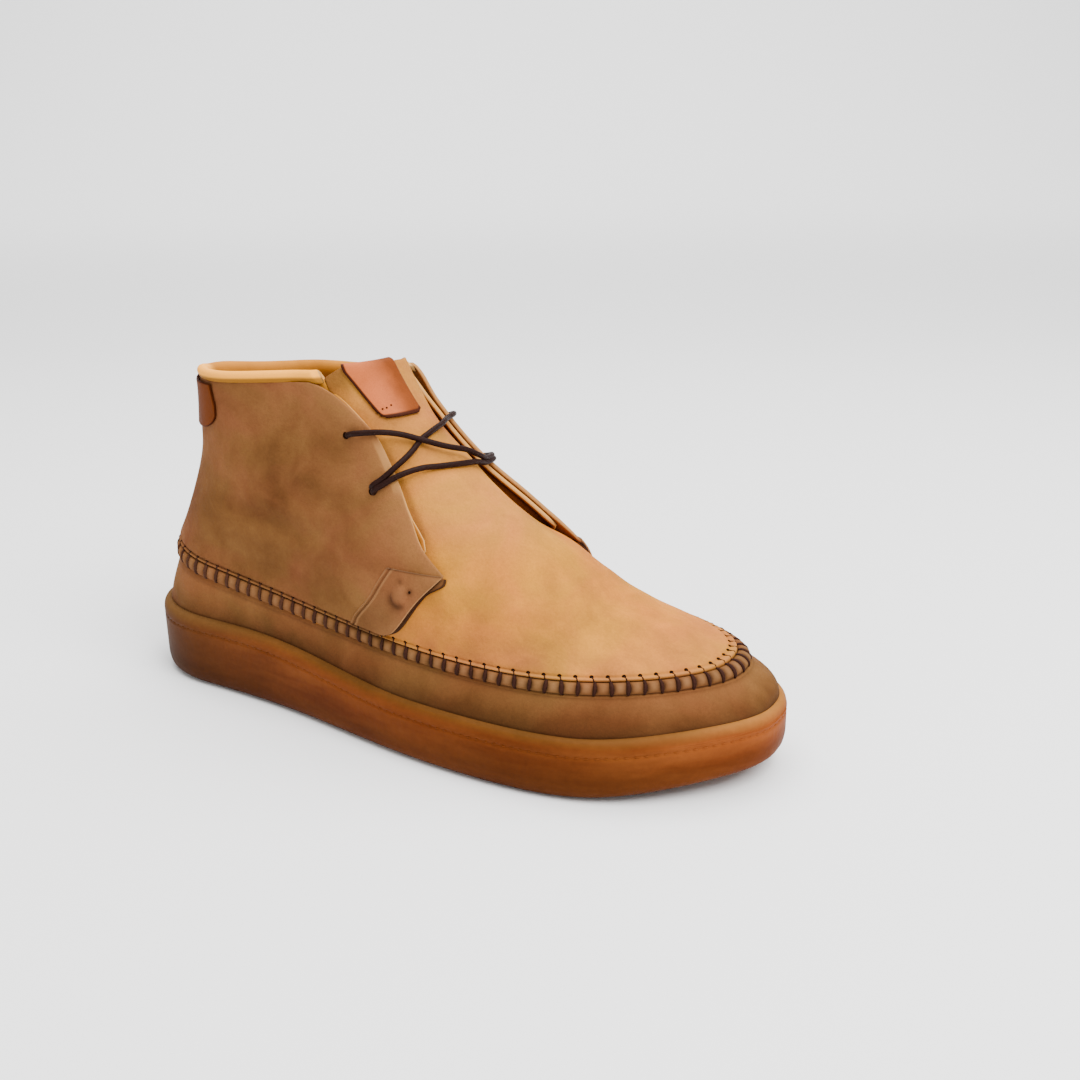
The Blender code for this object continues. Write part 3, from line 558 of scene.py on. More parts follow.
class Bundle:
    """Many small closed bodies in one piece."""

    def __init__(self):
        self.points = []
        self.faces = []

    def keep(self, grid):
        """Keep a grid of points, and return its point numbers."""
        start = sum(len(block) for block in self.points)
        self.points.append(grid.reshape(-1, 3))
        return start + np.arange(len(self.points[-1])).reshape(grid.shape[:2])

    def tube(self, path, radius, sides, flat=1, up=(0, 0, 1)):
        """Round tube along a path; radius may change along it; flat squeezes it along up."""
        way = unit(np.gradient(path, axis=0))
        side = unit(np.cross(way, np.broadcast_to(up, path.shape)))
        rise = np.cross(side, way) * flat
        angle = (np.arange(sides) * 2 * math.pi / sides)[:, None, None]
        radius = np.broadcast_to(radius, len(path))[:, None]
        numbers = self.keep(path + (side * np.cos(angle) + rise * np.sin(angle)) * radius)
        self.faces += quad_faces(np.concatenate([numbers, numbers[:1]]))
        self.faces += [numbers[:, 0].tolist(), numbers[::-1, -1].tolist()]

    def disc(self, turn, height, out, radius, depth, sides):
        """Flat rounded disc on the skin."""
        normal = skin_normal(turn, height)
        across = unit(way_round(turn, height))
        angle = (np.arange(sides) * 2 * math.pi / sides)[:, None]
        circle = np.cos(angle) * across + np.sin(angle) * np.cross(normal, across)
        rings = [circle * radius * share + normal * depth * lift
                 for share, lift in ((0.8, 1), (1, 0), (0.8, -1))]
        numbers = self.keep(skin_point(turn, height, out) + np.array(rings))
        self.faces += round_faces(numbers)
        self.faces += [numbers[0].tolist(), numbers[2][::-1].tolist()]

    def piece(self, name, look, slot=None, stands_for=(), marks=None):
        """Make the piece."""
        points = np.concatenate(self.points)
        finished(name, points, self.faces, marks or {}, look, stands_for)


def make_holes(name, look, places, radius, depth, sides=14):
    """Small dark holes, as discs on the skin: the dark paints the shade inside each hole."""
    bundle = Bundle()
    for place in places:
        bundle.disc(*place, radius, depth, sides)
    bundle.piece(name, look)


# Materials


class Look:
    """A node material, put together with short calls."""

    def __init__(self, name):
        self.material = bpy.data.materials.new(name)
        self.material.use_nodes = True
        self.tree = self.material.node_tree
        self.shader = self.tree.nodes["Principled BSDF"]
        self.where = self.add("TexCoord", {}, "Object")

    def add(self, kind, inputs, output=0, **settings):
        """An output of a new node with these inputs and settings."""
        node = self.tree.nodes.new("ShaderNode" + kind)
        for name, value in settings.items():
            setattr(node, name, value)
        for socket, value in inputs.items():
            self.put(node.inputs[socket], value)
        return node.outputs[output]

    def put(self, socket, value):
        """Link or set one input."""
        if isinstance(value, bpy.types.NodeSocket):
            self.tree.links.new(value, socket)
        elif socket.type == "RGBA":
            socket.default_value = (*value, 1)
        else:
            socket.default_value = value

    def mark(self, name):
        """A value kept on the mesh."""
        return self.add("Attribute", {}, "Fac", attribute_name=name)

    def noise(self, scale, detail=3, rough=0.6, twist=0, stretch=None):
        """Fractal noise, about 0 to 1; stretch scales it by axis."""
        where = self.where
        if stretch:
            where = self.add("Mapping", {"Vector": where, "Scale": stretch})
        return self.add("TexNoise", {"Vector": where, "Scale": scale, "Detail": detail,
                                     "Roughness": rough, "Distortion": twist})

    def spread(self, value, start=0, end=1, low=0.3, high=0.7):
        """Map a value's range from low to high to another, held at its ends."""
        return self.add("MapRange", {0: value, 1: low, 2: high, 3: start, 4: end})

    def held(self, value):
        """A value held between 0 and 1."""
        return self.spread(value, low=0, high=1)

    def math(self, kind, first, second):
        """Arithmetic."""
        return self.add("Math", {0: first, 1: second}, operation=kind)

    def plus(self, base, value, weight):
        """Base plus a value times a weight."""
        return self.add("Math", {0: value, 1: weight, 2: base}, operation="MULTIPLY_ADD")

    def mix(self, share, first, second, kind="MIX"):
        """Mix two colours."""
        inputs = {0: share, 6: first, 7: second}
        return self.add("Mix", inputs, 2, data_type="RGBA", blend_type=kind)

    def scaled(self, colour, value):
        """A colour times a value about 1, or times one for each channel."""
        if isinstance(value, float):
            value = (value,) * 3
        return self.add("VectorMath", {0: colour, 1: value}, operation="MULTIPLY")

    def bump(self, height, distance, strength, under=None):
        """Bump of a height in metres times strength."""
        inputs = {"Height": height, "Distance": distance, "Strength": strength}
        if under:
            inputs["Normal"] = under
        return self.add("Bump", inputs)

    def done(self, colour, rough, normal=None, specular=0.5):
        """Fill in the shader; colours made by nodes are given for a light of EXPOSURE 1."""
        if isinstance(colour, bpy.types.NodeSocket):
            colour = self.scaled(colour, 1 / EXPOSURE)
        inputs = {"Base Color": colour, "Roughness": rough, "Specular IOR Level": specular}
        if normal:
            inputs["Normal"] = normal
        for socket, value in inputs.items():
            self.put(self.shader.inputs[socket], value)
        return self.material


def nubuck(name, light, dark, edge, lining=None, mottle=1,
           hues=((1.06, 0.96, 0.98), (0.95, 1.025, 0.96))):
    """Waxed nubuck: soft clouds and rubbed patches over a fine nap; lighter cut edges; painted
    highlights and shade.
    """
    look = Look(name)
    clouds = look.spread(look.noise(21, 3, 0.55, 0.8), -0.5, 0.5, 0.36, 0.64)
    rubs = look.spread(look.noise(64, 4, 0.62, 0.6), -0.5, 0.5, 0.32, 0.68)
    hue = look.noise(24, 3, 0.55, 0.5, (1, 1, 1.4))
    nap = look.noise(950)
    speck = look.noise(2600, 2, 0.5)
    tone = look.plus(look.mark("tone"), clouds, 0.38 * mottle)
    tone = look.plus(tone, rubs, 0.26 * mottle)
    colour = look.mix(look.held(tone), dark, light)
    colour = look.mix(1, colour, look.mix(look.spread(hue, 0, 1, 0.38, 0.62), *hues), "MULTIPLY")
    grain = look.plus(look.spread(nap, 0.91, 1.05), look.spread(speck, -1, 1), 0.04)
    colour = look.scaled(colour, grain)
    colour = look.mix(look.mark("pale"), colour, look.scaled(colour, (0.96, 0.98, 1.55)))
    if lining:
        colour = look.mix(look.mark("inside"), colour, lining)
    cut = look.spread(look.mark("rim"), 0, 1, 0.2, 0.9)
    # Also towards the edge colour: real pale cut edges, and painted highlights on lips, puffs and
    # ridges.
    cut = look.math("MAXIMUM", look.math("SUBTRACT", cut, look.mark("hide")), look.mark("pale_edge_and_highlight"))
    colour = look.mix(look.held(cut), colour, edge)
    # Painted shade: a mark on the mesh darkens the colour in grooves, gaps, hollows and under edges
    # (at the lower quarter edges, also their dark edge paint).
    shaded = look.scaled(colour, (0.17, 0.17, 0.24))
    colour = look.mix(look.held(look.mark("painted_shade_and_edge_paint")), colour, shaded)
    rough = look.plus(look.spread(rubs, 0.82, 0.72, -0.5, 0.5), nap, 0.06)
    creased = look.bump(look.noise(170, 4), 0.0011, 0.34)
    normal = look.bump(look.plus(nap, speck, 0.5), 0.00022, 0.6, creased)
    return look.done(colour, rough, normal, 0.045)


def smooth_leather(name, light, dark, paint, shine=0.07):
    """Smooth vegetable-tanned leather with dark painted edges."""
    look = Look(name)
    clouds = look.noise(55, twist=0.5)
    pores = look.add("TexVoronoi", {"Vector": look.where, "Scale": 1700})
    tone = look.plus(look.mark("tone"), look.spread(clouds, -0.5, 0.5), 0.35)
    colour = look.mix(look.held(tone), dark, light)
    colour = look.scaled(colour, look.spread(pores, 0.94, 1.03, 0.1, 0.6))
    rim = look.spread(look.mark("rim"), 0, 1, 0.05, 0.6)
    colour = look.mix(look.math("MAXIMUM", rim, look.mark("paint")), colour, paint)
    normal = look.bump(pores, 0.00012, 0.5, look.bump(clouds, 0.0006, 0.3))
    return look.done(colour, look.spread(clouds, 0.46, 0.58), normal, shine)


def gum_rubber():
    """Gum rubber: matte light rim with a painted highlight along its top, over a redder side;
    painted shade darkens the heel and the foot.
    """
    look = Look("gum_rubber")
    smear = look.noise(26, 4, twist=0.8)
    streak = look.noise(34, twist=0.3, stretch=(0.5, 0.5, 2.6))
    dust = look.noise(420)
    heel = look.mark("heel")
    depth = look.plus(look.mark("depth"), look.spread(smear, -0.5, 0.5), 0.12)
    # Painted shade: the side takes darker colours at the heel.
    shaded_heel_colour = look.mix(look.spread(smear), (0.073, 0.0215, 0.0055), (0.13, 0.046, 0.0105))
    streak = look.spread(streak, 0, 1, 0.35, 0.65)
    side = look.mix(streak, (0.176, 0.04, 0.0072), (0.256, 0.069, 0.0135))
    side = look.mix(heel, side, shaded_heel_colour)
    rim = look.mix(look.spread(smear), (0.17, 0.066, 0.013), (0.235, 0.094, 0.021))
    rim = look.mix(heel, rim, (0.205, 0.095, 0.029))
    # Painted light and shade: the rim is darker over the waist and brighter at the toe.
    rim = look.scaled(rim, look.mark("shade"))
    below_rim = look.plus(depth, look.math("MULTIPLY", heel, depth), -0.38)
    # The light rim colour holds over the rim's top, where it is also a painted highlight.
    colour = look.mix(look.spread(below_rim, 0, 1, 0, 0.32), rim, side)
    # Painted shade darker towards the foot; painted light and shade along the sole, darker over the
    # forefoot, brighter at the toe.
    colour = look.scaled(colour, look.spread(depth, 1, 0.55, 0.7, 1))
    colour = look.scaled(colour, look.mark("side_light_and_shade"))
    colour = look.scaled(colour, look.spread(dust, 0.93, 1.05))
    normal = look.bump(dust, 0.0002, 0.5, look.bump(smear, 0.002, 0.25))
    return look.done(colour, look.spread(depth, 0.62, 0.5, 0.2, 0.7), normal, 0.025)


def waxed_cord(name, colour, shine):
    """Braided waxed thread, paler where it is marked faded."""
    look = Look(name)
    braid = look.noise(1500, 2, 0.5)
    tint = look.mix(look.spread(braid), colour, tuple(1.7 * part for part in colour))
    faded = look.mix(braid, (0.06, 0.022, 0.0115), (0.11, 0.042, 0.02))
    tint = look.mix(look.mark("fade"), tint, faded)
    rough = look.spread(braid, shine - 0.06, shine + 0.12)
    return look.done(tint, rough, look.bump(braid, 0.0004, 0.6), 0.07)


def lining_leather():
    """Soft pale lining leather."""
    look = Look("collar_lining")
    clouds = look.noise(40, twist=0.3)
    pores = look.noise(1500, 2, 0.5)
    tone = look.plus(look.mark("tone"), look.spread(clouds, -0.5, 0.5), 0.3)
    colour = look.mix(look.held(tone), (0.4, 0.13, 0.014), (1.5, 0.6, 0.05))
    colour = look.scaled(colour, look.spread(pores, 0.96, 1.02))
    cut = look.spread(look.mark("rim"), 0, 1, 0.2, 0.9)
    colour = look.mix(cut, colour, (0.78, 0.4, 0.12))
    # Painted shade: a mark on the mesh darkens the lining in the gaps at the front edges and below
    # the collar's roll.
    colour = look.mix(look.mark("painted_shade_and_edge_paint"), colour, look.scaled(colour, 0.1))
    normal = look.bump(pores, 0.0002, 0.4)
    return look.done(colour, look.spread(clouds, 0.58, 0.7), normal, 0.05)


def footbed_fabric():
    """Leather-topped footbed with a fine nap."""
    look = Look("footbed")
    nap = look.noise(1300)
    colour = look.mix(look.spread(look.noise(30)), (0.42, 0.22, 0.085), (0.56, 0.33, 0.15))
    colour = look.scaled(colour, look.spread(nap, 0.92, 1.05))
    return look.done(colour, 0.8, look.bump(nap, 0.0003, 0.5))


def hole_shadow():
    """Slightly uneven darkness of the small holes."""
    look = Look("hole_shadow")
    cloud = look.spread(look.noise(300, 2, 0.5))
    tint = look.mix(cloud, (0.012, 0.0045, 0.0024), (0.015, 0.005625, 0.003))
    return look.done(tint, 0.95, specular=0)


# Sole


def rubber_marks(x):
    """How the rubber's colour changes along the sole: painted shade at the heel, painted light and
    shade along the rim and the side.
    """
    return {"heel": fall(x, -150, -20) ** 1.2,
            "shade": 0.95 - 0.3 * bell(x, 0, 60) + 0.45 * ease(x, 118, 150),
            "side_light_and_shade": 1 - 0.2 * bell(x, 75, 38) + 0.5 * ease(x, 104, 150)}


def cap_faces(ring):
    """Faces across a closed ring of point numbers."""
    ring, half = ring.tolist(), len(ring) // 2
    faces = [[ring[k] for k in (i, i + 1, -i - 1, -i)] for i in range(1, half - 1)]
    return faces + [[ring[0], ring[1], ring[-1]], ring[half - 1:half + 2]]


def make_sole(look):
    """Cupsole: tread, side, stitch channel, rounded rim and cup."""
    turn = even_turns(420, sole_point)
    x = sole_point(turn)[:, 0]
    rim, foot = rim_height(x), ground_height(x) + SIDE_FOOT
    rings, depth = [], []

    def ring(plan, z, share):
        rings.append(np.column_stack([plan, z]))
        depth.append(np.full(len(turn), float(share)))

    flat = sole_point(turn, FLAT_INSET)
    along = flat[:, 0] / LENGTH + 0.5
    centre = np.column_stack([flat[:, 0], SWING_LINE(along)])
    arch = 2 * (ease(along, 0.3, 0.4) - ease(along, 0.46, 0.56))
    for share in (0.02, 0.35, 0.7, 1):
        plan = centre + (flat - centre) * share
        ring(plan, ground_height(plan[:, 0]) + arch * share, 1)
    for inset, above in TREAD_RINGS:
        plan = sole_point(turn, inset)
        ring(plan, ground_height(plan[:, 0]) + above, 1)
    for share in (0.2, 0.4, 0.6, 0.8, 1):
        ring(sole_point(turn), foot + (rim - SIDE_TOP - foot) * share, 0.98 - 0.24 * share)
    for inset, below, share in CHANNEL_RINGS:
        ring(sole_point(turn, inset), rim - below, share)
    toe = 1 + 0.25 * ease(x, 90, 140)
    for inset, below, share in RIM_RINGS:
        ring(sole_point(turn, inset * np.minimum(toe, 4.3 / inset)), rim - below * toe, share)
    ring(skin_point(turn, height_at(turn, rim_height, 0.35), 0.12)[:, :2], rim - 0.4, 0)
    for below in (1.6, CUP_DEPTH):
        cup = skin_point(turn, height_at(turn, rim_height, -below), 0.12)
        ring(cup[:, :2], cup[:, 2], 0.3)
    points = np.concatenate(rings)
    numbers = np.arange(len(points)).reshape(len(rings), -1)
    faces = round_faces(numbers) + cap_faces(numbers[0]) + cap_faces(numbers[-1])
    marks = {"depth": np.concatenate(depth), **rubber_marks(points[:, 0])}
    cut_tread(finished("cupsole", points, faces, marks, look, ("sole",)))


def cut_tread(sole):
    """Cut slanted grooves out of the tread, for good."""
    points, faces = [], []
    for middle, slant in GROOVES:
        turn = math.acos(1 - 2 * (middle / LENGTH + 0.5)) / (2 * math.pi)
        sides = sole_point(turn, GROOVE_INSET)[1], sole_point(1 - turn, GROOVE_INSET)[1]
        a, b, c, d, e, f, g, h = range(len(points), len(points) + 8)
        for z in (-4, float(ground_height(middle)) + 1.6):
            for y, shift in zip(sides, (-slant, slant)):
                points += [(middle + shift + half, y, z) for half in (-1.6, 1.6)]
        faces += [[a, b, d, c], [e, g, h, f], [a, e, f, b], [c, d, h, g], [a, c, g, e],
                  [b, f, h, d]]
    cutter = add_mesh("tread_cut", points, faces)
    modifier = sole.modifiers.new("cut", "BOOLEAN")
    modifier.operation = "DIFFERENCE"
    modifier.solver = "EXACT"
    modifier.object = cutter
    bpy.context.view_layer.update()
    graph = bpy.context.evaluated_depsgraph_get()
    shaped = bpy.data.meshes.new_from_object(sole.evaluated_get(graph))
    sole.modifiers.clear()
    whole, sole.data = sole.data, shaped
    bpy.data.meshes.remove(whole)
    shaped.name = sole.name
    bpy.data.objects.remove(cutter)


def make_side_stitches(look):
    """Short stitches in the channel round the sole's side."""
    turn = even_turns(SIDE_STITCHES * 6, sole_point)
    outline = sole_point(turn, CHANNEL_DEPTH)
    line = np.column_stack([outline, rim_height(sole_point(turn)[:, 0]) - CHANNEL])
    inward = np.column_stack([sole_point(turn, 0.9) - outline, 0 * turn])
    bundle = Bundle()
    for start in range(0, len(turn), 6):
        part = slice(start, start + 5)
        sunk = inward[part] * np.array([0.9, 0.2, 0, 0.2, 0.9])[:, None]
        bundle.tube(line[part] + sunk, [0.2, 0.32, 0.36, 0.32, 0.2], 6)
    marks = rubber_marks(np.concatenate(bundle.points)[:, 0])
    marks["depth"] = np.full(len(marks["heel"]), 0.45)
    bundle.piece("side_stitches", look, "gum_rubber", (), marks)


def make_insole(look):
    """Footbed, slightly dished, inside the lining."""
    turn = even_turns(240)
    wall = skin_point(turn, height_at(turn, floor_height, 3.4), -5.2)
    centre = wall.copy()
    centre[:, 1] = SWING_LINE(wall[:, 0] / LENGTH + 0.5) * 0.9
    rings = []
    for share, lift in FOOTBED_RINGS:
        ring = centre + (wall - centre) * share
        ring[:, 2] = floor_height(ring[:, 0]) + 3.8 + lift
        rings.append(ring)
    hoop("footbed", np.array(rings), look, {}, ("insole",))


# Rand and seam


def band_turn(turn, above):
    """Turn at a place above the foot of the band, on a line square to the seam."""
    way = (last_point(turn + 0.001, BAND_MIDDLE) - last_point(turn - 0.001, BAND_MIDDLE)) / 0.002
    climb = skin_point(turn, band_top(turn)) - skin_point(turn, SEAM)
    shift = -np.sum(climb * way, axis=-1) / np.sum(way * way, axis=-1)
    return turn + shift * np.maximum(above, 0) / BAND


def make_rand(look):
    """Wall round the foot with the puffed band of the seam along its top."""
    turn = SEAM_TURNS
    heel = from_heel(turn)
    line = last_point(turn, BAND_MIDDLE)
    pitch = np.linalg.norm(line[1] - line[0])
    puff, step = np.divmod(np.arange(len(turn)), PER_STITCH)
    from_thread = np.minimum(step, PER_STITCH - step) * pitch
    wide_pinch = bell(from_thread, 0, 1.7)
    low = height_at(turn, floor_height, 0.4)

    up = np.linspace(0, 1, 30)[:, None]
    level = low + (seam_height(turn, -1.8) - low) * up
    above_rim = level - height_at(turn, rim_height)
    wall = skin_point(turn, level, 0.25 * np.sin(np.pi * up))
    # Painted shade: darker under the band and down towards the sole, darkest in the gap at the
    # sole's rim.
    wall_shade = 0.3 * ease(up, 0.94, 1) + 0.22 * fall(above_rim, 0, 8)
    wall_shade = wall_shade + 0.3 * bell(above_rim, 0, 0.8)

    above, out = np.array(BAND_SHAPE).T[..., None]
    full = np.maximum(out, 0) / BAND_RISE
    swell = full * (0.34 - 1.15 * bell(from_thread, 0, 1.05))
    at = band_turn(turn, above)
    band = skin_point(at, seam_height(at, above), out + swell)
    # Painted shade in the grooves above and below the band and where the threads pinch the puffs,
    # less towards the heel.
    groove = 0.65 * (out < 0.2) * ((above > -0.5) & (above < 0.1) | (above > 5.9))
    band_shade = 0.85 * full * wide_pinch + 0.12 * full + groove
    band_shade = band_shade * (0.6 + 0.4 * ease(heel, 0.14, 0.32))
    uneven = 0.7 + 0.3 * np.sin(puff * 2.4) * np.sin(puff * 0.7 + 1)
    # Painted highlight on the puffs between the threads.
    puff_highlight = 0.34 * full ** 2 * (1 - wide_pinch) * uneven

    down = np.array((1, 0.66, 0.33, 0))[:, None]
    back = skin_point(turn, low + (seam_height(turn, -1) - low) * down, -2.3)
    tone = 0.12 + 0.55 * fall(heel, 0.05, 0.22) + 0.04 * ease(heel, 0.4, 0.5)
    tone = tone - 0.24 * bell(heel, 0.335, 0.06)
    # Painted light: the wall is lighter towards its top, where light from above falls.
    lighter = 0.55 * ease(np.arange(len(wall)) / len(wall), 0.35, 1)[:, None]

    def rows(*values):
        return np.concatenate([np.broadcast_to(value, part.shape[:2])
                               for value, part in zip(values, (wall, band, back))])

    marks = {"painted_shade_and_edge_paint": rows(wall_shade, band_shade, 0), "pale_edge_and_highlight": rows(0, puff_highlight, 0),
             "tone": rows(tone + lighter, 0.7, tone)}
    rings = np.concatenate([wall, band, back])
    hoop("rand_with_band", rings, look, marks, ("rand",))


def make_whip_stitches(look):
    """Thread over the band and its lip, one length between each two puffs."""
    bundle = Bundle()
    up, out, thick = np.array(THREAD).T
    past, slim = np.array(THREAD_OVER_LIP).T
    fade = []
    for number, turn in enumerate(SEAM_TURNS[::PER_STITCH]):
        lean = 0.00055 * math.sin(number * 2.1) * np.linspace(-1, 1, len(up))
        at = band_turn(turn, up) + lean
        level = seam_height(at, up)
        radius = thick * (1 + 0.14 * math.sin(number * 1.7))
        bundle.tube(skin_point(at, level, out), radius, 8, 0.85, skin_normal(at, level))
        at = band_turn(turn, BAND + past)
        level = over_band(at, past)
        path = skin_point(at, level, skin_out(past, over_quarter(at, level)) + 0.02)
        heel = fall(from_heel(turn), 0.16, 0.32)
        bundle.tube(path, slim * (1 + 0.6 * heel), 6, 0.8, skin_normal(at, level))
        count = 8 * len(up) + 6 * len(past)
        fade += [heel * (0.75 + 0.25 * math.sin(number * 2.9))] * count
    bundle.piece("whip_stitches", look, "waxed_lace", (), {"fade": np.array(fade)})


def make_seam_holes(look):
    """Awl holes above the band, one for each stitch."""
    turns = band_turn(SEAM_TURNS[::PER_STITCH], BAND + HOLES_ABOVE)
    heights = over_band(turns, HOLES_ABOVE)
    outs = skin_out(HOLES_ABOVE, over_quarter(turns, heights)) + 0.12
    make_holes("seam_holes", look, zip(turns, heights, outs), 0.82, 0.14)


# Upper


def over_quarter(turn, height):
    """1 where a place lies on the quarters, 0 on the vamp."""
    return (from_heel(turn) < front_edge(turn, height)) * 1


def skin_out(above, quarter):
    """Face of the upper above the band: a folded lip, a valley with the holes, then the leather."""
    lip = 0.8 * bell(above, 1, 0.8) - 1.3 * fall(above, -0.8, 0.35)
    base = 0.45 + (LAP - 0.45) * ease(above, 1.8, 5.2)
    return lip - 0.25 * bell(above, 2.7, 0.6) + quarter * base


def rows_up(turn_of, top, count):
    """Turns, heights and mm above the band for rows from the seam up to a height."""
    lip = len(LIP_STEPS)
    rows = []
    for row in range(lip + count):
        height = np.full(len(turn_of(45)), 45)
        for _ in range(4):
            turn = turn_of(height)
            height = over_band(turn, LIP_STEPS[min(row, lip - 1)])
            height = height + (top - height) * max(row - lip + 1, 0) / count
        turn = turn_of(height)
        rows.append((turn, height, above_band(turn, height)))
    return np.array(rows).swapaxes(0, 1)


def creases(points, folds):
    """Depth of soft creases at points."""
    total = np.zeros(points.shape[:-1])
    for places, depth, width in folds:
        path = last_point(*through(places, 24).T)
        nearest = np.full(total.shape, 1e9)
        fade = 0 * total
        for i, point in enumerate(path):
            away = np.linalg.norm(points - point, axis=-1)
            strength = math.sin(math.pi * (i + 0.5) / len(path)) ** 0.7
            fade = np.where(away < nearest, strength, fade)
            nearest = np.minimum(away, nearest)
        shape = bell(nearest, 0, width) - 0.45 * bell(nearest, 1.9 * width, 0.9 * width)
        total += depth * fade * shape
    return total


def both_ways(count):
    """Shares of the way to the front edges, closest near them; below 0 on the inner side."""
    spread = np.linspace(0, 1, count) ** 0.85
    return np.concatenate([-spread[:0:-1], spread])


def quarter_turn(share, height, sides):
    """Turn at a share of the way to the front edge."""
    return share * by_side(share >= 0, sides, height) % 1


def on_side(forward, side):
    """Turn of a place counted forward from the heel on one side."""
    return forward if side == OUTER else 1 - forward


def lower_lift(share, height, above):
    """How far the lower front edges of the quarters stand off the vamp."""
    near_edge = ease(np.abs(share), 0.91, 1)
    return 0.9 * near_edge * ease(above, 3, 16) * fall(height, 80.5, 87)


def facing_depth(share, height):
    """Extra thickness of the two layers along the inner facing."""
    return ease(-share, 0.955, 0.985) * ease(height, 84, 92)


def quarter_tone(share, height):
    """Lighter at the heel, the collar and the facing, darker in the middle and low down."""
    away = np.abs(share)
    tone = 0.5 - 0.26 * bell(away, 0.6, 0.24) + 0.52 * ease(away, 0.8, 1)
    tone = tone + 0.1 * bell(away, 0.22, 0.14) + 0.04 * ease(height, 132, 160)
    tone = tone + 0.12 * bell(away, 0.8, 0.14) * bell(height, 62, 22)
    tone = tone + 0.12 * bell(away, 0.66, 0.12) * bell(height, 58, 14)
    return tone - 0.27 * bell(away, 0.05, 0.26) * bell(height, 76, 24)


def make_quarters(look):
    """Leather of the quarters, lapped over the vamp and standing off the tongue at the front."""
    share = both_ways(170)
    away = np.abs(share)
    turn, height, above = rows_up(lambda level: quarter_turn(share, level, EDGE), QUARTER_TOP, 108)
    rise = standoff(share, height) + lower_lift(share, height, above)
    face = skin_out(above, 1) + rise + 0.4 * facing_depth(share, height)
    face = face + creases(last_point(turn, height), QUARTER_FOLDS)
    face = face - 0.35 * ease(height, 159, QUARTER_TOP)
    lap = ease(away, 0.8, 0.86) * fall(height, 80.5, 85)
    back = np.minimum(-0.1 + 0.22 * lap + rise, face - 0.7)
    low_edge = ease(away, 0.985, 0.999) * fall(height, 78.5, 81)
    groove = (0.6 + 0.3 * ease(from_heel(turn), 0.14, 0.32)) * bell(above, -0.25, 0.4)
    hide = fall(height, np.where(share > 0, 86, 80), np.where(share > 0, 97, 84))
    hide = np.maximum(hide, ease(height, 141, 148) * (share > 0))
    strip = 0.9 * ease(share, 0.973, 0.982) * ease(height, 116, 122) * fall(height, 136, 142)
    inner_edge = ease(-share, 0.982, 0.998) * ease(height, 81, 85) * fall(height, 150, 158)
    # Painted shade in the holes' valley, in the groove over the band and along the lower front
    # edges, which also carry the edges' dark paint; painted highlight on the lip. The strip and the
    # inner edge are the pale cut edges.
    marks = {"tone": quarter_tone(share, height), "hide": hide,
             "painted_shade_and_edge_paint": 0.25 * bell(above, 2.7, 0.6) + groove + 1.1 * low_edge,
             "pale_edge_and_highlight": 0.14 * bell(above, 1.1, 0.7) + 0.75 * strip + 0.55 * inner_edge}
    leather("quarters", turn, height, [face, back], look, marks, ("upper",), 0.75)


def make_underlay(name, side, look):
    """Lining leather that shows under the lower front edge of one quarter."""
    levels = np.linspace(42, 80, 54)[:, None]
    share = np.linspace(0, 1, 30)
    behind, beyond = 0.022, 0.0042 + 0.0055 * bell(levels, 77.2, 3)
    forward = EDGE[side](levels - 1.2) - behind + share * (behind + beyond)
    turn = on_side(forward, side)
    back = 0.1 + 0.1 * share * ease(above_band(turn, levels), 5, 14)
    pale = ease(levels, 72, 76) * ease(share, 0.7, 0.8) * fall(share, 0.93, 0.965)
    # Painted shade under the patch, dark along the front edge, which also carries its dark edge
    # paint; a paler strip shows near the tip.
    marks = {"tone": 0.3, "painted_shade_and_edge_paint": 0.84 - 0.74 * pale, "hide": 1}
    leather(name, turn, levels, [back + 0.62, back], look, marks)


def make_vamp(look):
    """Vamp and tongue in one skin, from the seam at the toe to the top of the tongue."""
    across = np.linspace(0, 1, 210)

    def turns(height):
        start = TONGUE_SIDE[OUTER](height)
        return start + across * (1 - TONGUE_SIDE[INNER](height) - start)

    turn, height, above = rows_up(turns, TONGUE_TOP, 132)
    edge = front_edge(turn, height)
    past_edge = from_heel(turn) - edge
    throat = ease(height, 79, 90)
    under_quarter = 1.3 * fall(from_heel(turn) / edge, 0.93, 1)
    hollow = HOLLOW(height) * ease(turn, *HOLLOW_TURNS)
    face = skin_out(above, 0) - throat * (under_quarter + hollow)
    face = face + creases(last_point(turn, height), VAMP_FOLDS)
    back = face - 1.7 - 0.3 * throat
    tone = 0.8 - 0.42 * fall(above, 1, 34) * ease(np.abs(turn - 0.5), 0.02, 0.16)
    # Painted shade at the top of the tongue on the outer side, beside the collar and under the tab.
    tone = tone - 0.35 * ease(height, 160, 164) * (turn < 0.41)
    shadow = 0.5 * bell(past_edge, 0.004, 0.006) * ease(height, 88, 100)
    # Painted shade in the holes' valley, in the groove over the band, beside the near facing's edge
    # and at the tongue's outer top corner; painted highlight on the lip.
    painted_shade_and_edge_paint = 0.2 * bell(above, 2.7, 0.6) + 0.9 * bell(above, -0.25, 0.4)
    painted_shade_and_edge_paint = painted_shade_and_edge_paint + shadow * fall(height, 134, 146)
    painted_shade_and_edge_paint = painted_shade_and_edge_paint + 0.45 * ease(height, 156, 163) * fall(turn, 0.376, 0.392)
    marks = {"tone": tone, "painted_shade_and_edge_paint": painted_shade_and_edge_paint, "pale_edge_and_highlight": 0.45 * bell(above, 1, 0.9),
             "pale": ease(height, 84, 108) + 0.55 * fall(above, 4, 30)}
    leather("vamp_and_tongue", turn, height, [face, back], look, marks,
            ("upper", "tongue"), 0.7)


def fold_sides(profile):
    """Heights, ways out, and direction up and out along a folded sheet's middle, as columns."""
    return *profile.T[..., None], *unit(np.gradient(profile, axis=0)).T[..., None]


